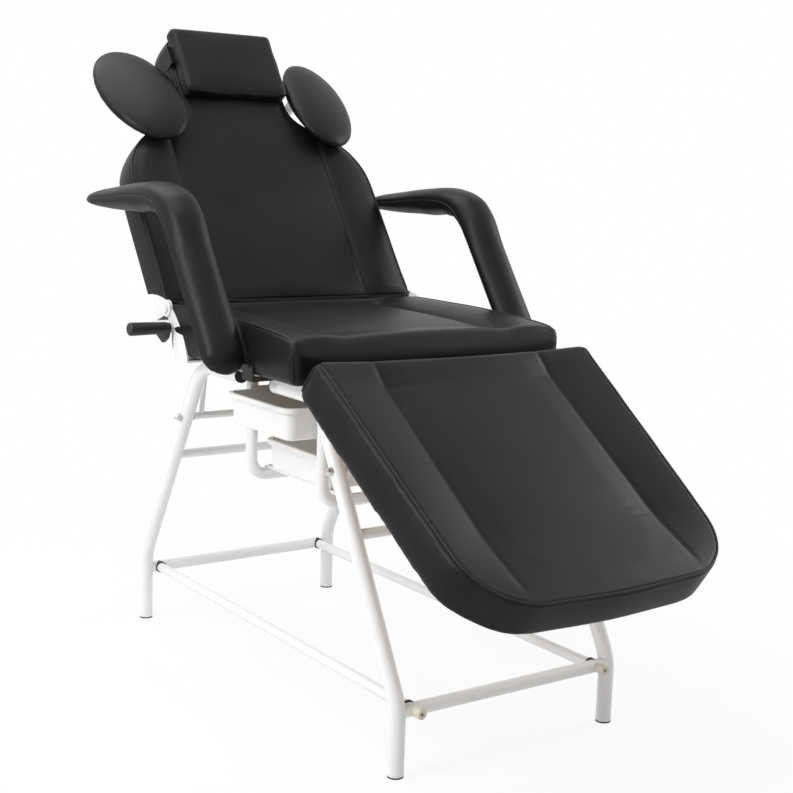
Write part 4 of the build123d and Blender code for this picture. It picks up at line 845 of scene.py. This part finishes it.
def smooth_run(points, step):
    """Evenly spaced points of a soft curve by the given points, with the way along it and the distance."""
    reach = np.concatenate([[0], np.cumsum(np.linalg.norm(np.diff(points, axis=0), axis=1))])
    fine = np.linspace(0, reach[-1], 1200)
    line = np.column_stack([np.interp(fine, reach, points[:, k]) for k in range(2)])
    for _ in range(700):
        line[1:-1] = (line[:-2] + 2 * line[1:-1] + line[2:]) / 4
    pick = np.linspace(0, len(line) - 1, int(reach[-1] / step)).astype(int)
    along = np.gradient(line, axis=0)
    along /= np.linalg.norm(along, axis=1, keepdims=True)
    return line[pick], along[pick], fine[pick]


def arm_cover():
    """Rings round the seam's curve from the post's lower end to the arm's tip, and the two seams."""
    line, along, reach = smooth_run(arm_seam, 5 * MM)
    total = reach[-1]
    end_low = np.sqrt(np.clip(1 - (1 - np.clip((reach + 1 * MM) / 0.040, 0, 1)) ** 2, 0, 1))
    end_tip = np.clip(1 - (1 - np.clip((total - reach + 1 * MM) / 0.075, 0, 1)) ** 2, 0, 1)
    half_w = ARM_HALF_W * end_low * np.sqrt(end_tip)
    dome = np.interp(reach, arm_depths[:, 0], arm_depths[:, 1]) * end_low * end_tip ** 0.8
    back = np.interp(reach, arm_depths[:, 0], arm_depths[:, 2]) * end_low * end_tip ** 0.8
    turns = np.linspace(0, 2 * np.pi, 56, endpoint=False)
    bm = bmesh.new()
    rings = []
    seams = ([], [])
    for (y, z), (ty, tz), w, up, down in zip(line, along, half_w, dome, back):
        ring = []
        for turn in turns:
            c, n = math.cos(turn), math.sin(turn)
            x = ARM_X + w * math.copysign(abs(c) ** 0.86, c)
            h = up * n ** 0.80 if n >= 0 else -down * (-n) ** 0.62
            ring.append(bm.verts.new((x, y - tz * h, z + ty * h)))
        rings.append(ring)
        for side, sign in zip(seams, (1, -1)):
            side.append((ARM_X + sign * w, y, z))
    for one, two in zip(rings, rings[1:]):
        for k in range(len(turns)):
            m = (k + 1) % len(turns)
            bm.faces.new((one[k], two[k], two[m], one[m]))
    for ring in (rings[0], rings[-1]):
        middle = bm.verts.new(sum((v.co for v in ring), Vector()) / len(ring))
        for k, vert in enumerate(ring):
            bm.faces.new((vert, ring[(k + 1) % len(ring)], middle))
    bmesh.ops.recalc_face_normals(bm, faces=bm.faces)
    return from_bmesh(bm, "arm"), [np.array(side) for side in seams]


def gathers(mesh):
    """Folds of the cover in the elbow's inner corner."""
    co = points_of(mesh)
    y, z = co[:, 1], co[:, 2]
    near = np.exp(-((y - 0.178) / 0.030) ** 2) * ease(0.985 - z, 0.0, 0.02)
    co[:, 2] += near * 2.2 * MM * np.sin((y + 0.5 * (co[:, 0] - ARM_X)) * 2 * np.pi / 0.017)
    put_points(mesh, co)


arm, arm_lines = arm_cover()
by_seam = np.minimum(*(nearest(line, points_of(arm))[0] for line in arm_lines)) < 4 * MM
puff(arm, by_seam, 2.0, 1.5 * MM)
gathers(arm)
seam_groove(arm, arm_lines, 1.0 * MM, 3.5 * MM)
for hand, mesh, name in ((1, arm, "left"), (-1, other_side(arm), "right")):
    arm_pad = pad(f"armrest_{name}_cover", finer(mesh), f"armrest_{name}", f"armrest_pad_{name}")
    runs = [line[2:-2] * (hand, 1, 1) for line in arm_lines]
    piping(f"armrest_{name}_piping", runs, f"armrest_{name}", arm_pad, 1.3 * MM, sunk=0.75)

# The steel strap in each armrest's inner side, rounded at its ends
STRAP_HALF_W = 6 * MM
STRAP_L = 0.056         # between the middles of its round ends
STRAP_X = (0.3220, 0.3270)
STRAP_LEAN = math.radians(35)
strap_way = np.array((math.sin(STRAP_LEAN), math.cos(STRAP_LEAN)))
strap_low = np.array((-0.0555, 0.6875))
for hand, name in ((1, "left"), (-1, "right")):
    bm = bmesh.new()
    side_way = np.array((strap_way[1], -strap_way[0]))
    rim = []
    for k in range(24):
        turn = math.pi * (k + 0.5) / 12
        shift = strap_way * ((STRAP_L if math.cos(turn) > 0 else 0.0) + math.cos(turn) * STRAP_HALF_W)
        rim.append(strap_low + shift + side_way * math.sin(turn) * STRAP_HALF_W)
    face = bm.faces.new([bm.verts.new((hand * STRAP_X[0], y, z)) for y, z in rim])
    grown = bmesh.ops.extrude_face_region(bm, geom=[face])["geom"]
    outer = [g for g in grown if isinstance(g, bmesh.types.BMVert)]
    bmesh.ops.translate(bm, vec=(hand * (STRAP_X[1] - STRAP_X[0]), 0, 0), verts=outer)
    bmesh.ops.recalc_face_normals(bm, faces=bm.faces)
    flat_bar = from_bmesh(bm, "strap")
    strap = add_mesh(f"armrest_{name}_strap", flat_bar, f"armrest_{name}", finishes["black_steel"])
    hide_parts(f"armrest_plate_{name}")


# Stage, light and camera
def stage():
    floor_mesh = bmesh.new()
    bmesh.ops.create_grid(floor_mesh, x_segments=1, y_segments=1, size=14.0)
    floor = bpy.data.objects.new("floor", from_bmesh(floor_mesh, "floor"))
    scene.collection.objects.link(floor)
    s = Shader("studio_floor", Specular_IOR_Level=0.1, Roughness=0.9)
    s.surface.inputs["Base Color"].default_value = grey(0.85)
    seen = s.node("ShaderNodeLightPath", out="Is Camera Ray")
    away = s.node("ShaderNodeVectorMath", {"operation": "LENGTH"}, {0: s.place}, out="Value")
    share = 0.88 + 0.12 * away.ramp(0.8, 1.8)
    glow = s.node("ShaderNodeEmission", None, {"Color": grey(1.0), "Strength": 1.0})
    blend = s.node("ShaderNodeMixShader", None, {0: seen * share, 1: Wire(s, s.surface.outputs[0]), 2: glow})
    s.tree.links.new(blend.socket, s.tree.nodes["Material Output"].inputs["Surface"])
    floor.data.materials.append(s.material)

    world = bpy.data.worlds.new("studio")
    scene.world = world
    world.use_nodes = True
    tree = world.node_tree
    path = tree.nodes.new("ShaderNodeLightPath")
    background = tree.nodes["Background"]
    background.inputs["Color"].default_value = grey(1.0)
    level = tree.nodes.new("ShaderNodeMapRange")
    level.inputs["To Min"].default_value = 0.50
    level.inputs["To Max"].default_value = 1.0
    direct = None
    for ray in ("Is Camera Ray", "Is Glossy Ray", "Is Transmission Ray"):
        if direct is None:
            direct = path.outputs[ray]
            continue
        either = tree.nodes.new("ShaderNodeMath")
        either.operation = "MAXIMUM"
        tree.links.new(direct, either.inputs[0])
        tree.links.new(path.outputs[ray], either.inputs[1])
        direct = either.outputs[0]
    tree.links.new(direct, level.inputs["Value"])
    tree.links.new(level.outputs["Result"], background.inputs["Strength"])


def softbox(name, place, aim, size, power):
    lamp = bpy.data.lights.new(name, "AREA")
    lamp.shape = "RECTANGLE"
    lamp.size, lamp.size_y = size
    lamp.energy = power
    holder = bpy.data.objects.new(name, lamp)
    holder.location = place
    holder.rotation_euler = (Vector(aim) - Vector(place)).to_track_quat("-Z", "Y").to_euler()
    scene.collection.objects.link(holder)


def camera():
    """The photograph's camera, solved from the chair's feet and seams."""
    yaw, pitch, roll = 0.617372, 0.162759, -0.033535
    focal_px, frame_px = 1410.84, 793.0
    ahead = Vector((math.sin(yaw) * math.cos(pitch), math.cos(yaw) * math.cos(pitch), -math.sin(pitch)))
    right = Vector((math.cos(yaw), -math.sin(yaw), 0.0))
    down = ahead.cross(right)
    right_r = right * math.cos(roll) + down * math.sin(roll)
    down_r = down * math.cos(roll) - right * math.sin(roll)
    m = Matrix.Identity(4)
    m.col[0][:3] = right_r
    m.col[1][:3] = -down_r
    m.col[2][:3] = -ahead
    m.col[3][:3] = (-1.62894, -2.39636, 1.06715)
    data = bpy.data.cameras.new("camera")
    data.sensor_width = 36.0
    data.lens = 36.0 * focal_px / frame_px
    data.clip_end = 60.0
    holder = bpy.data.objects.new("camera", data)
    holder.matrix_world = m
    scene.collection.objects.link(holder)
    scene.camera = holder


stage()
softbox("overhead", (-0.9, 0.9, 3.2), (0.0, 0.0, 0.6), (2.6, 2.6), 64.0)
softbox("left", (-2.9, -0.25, 2.0), (-0.2, 0.0, 0.7), (0.5, 1.5), 48.0)
softbox("right", (3.2, -0.6, 1.9), (0.0, 0.0, 0.5), (1.2, 1.8), 40.0)
camera()
scene.view_settings.view_transform = "Standard"
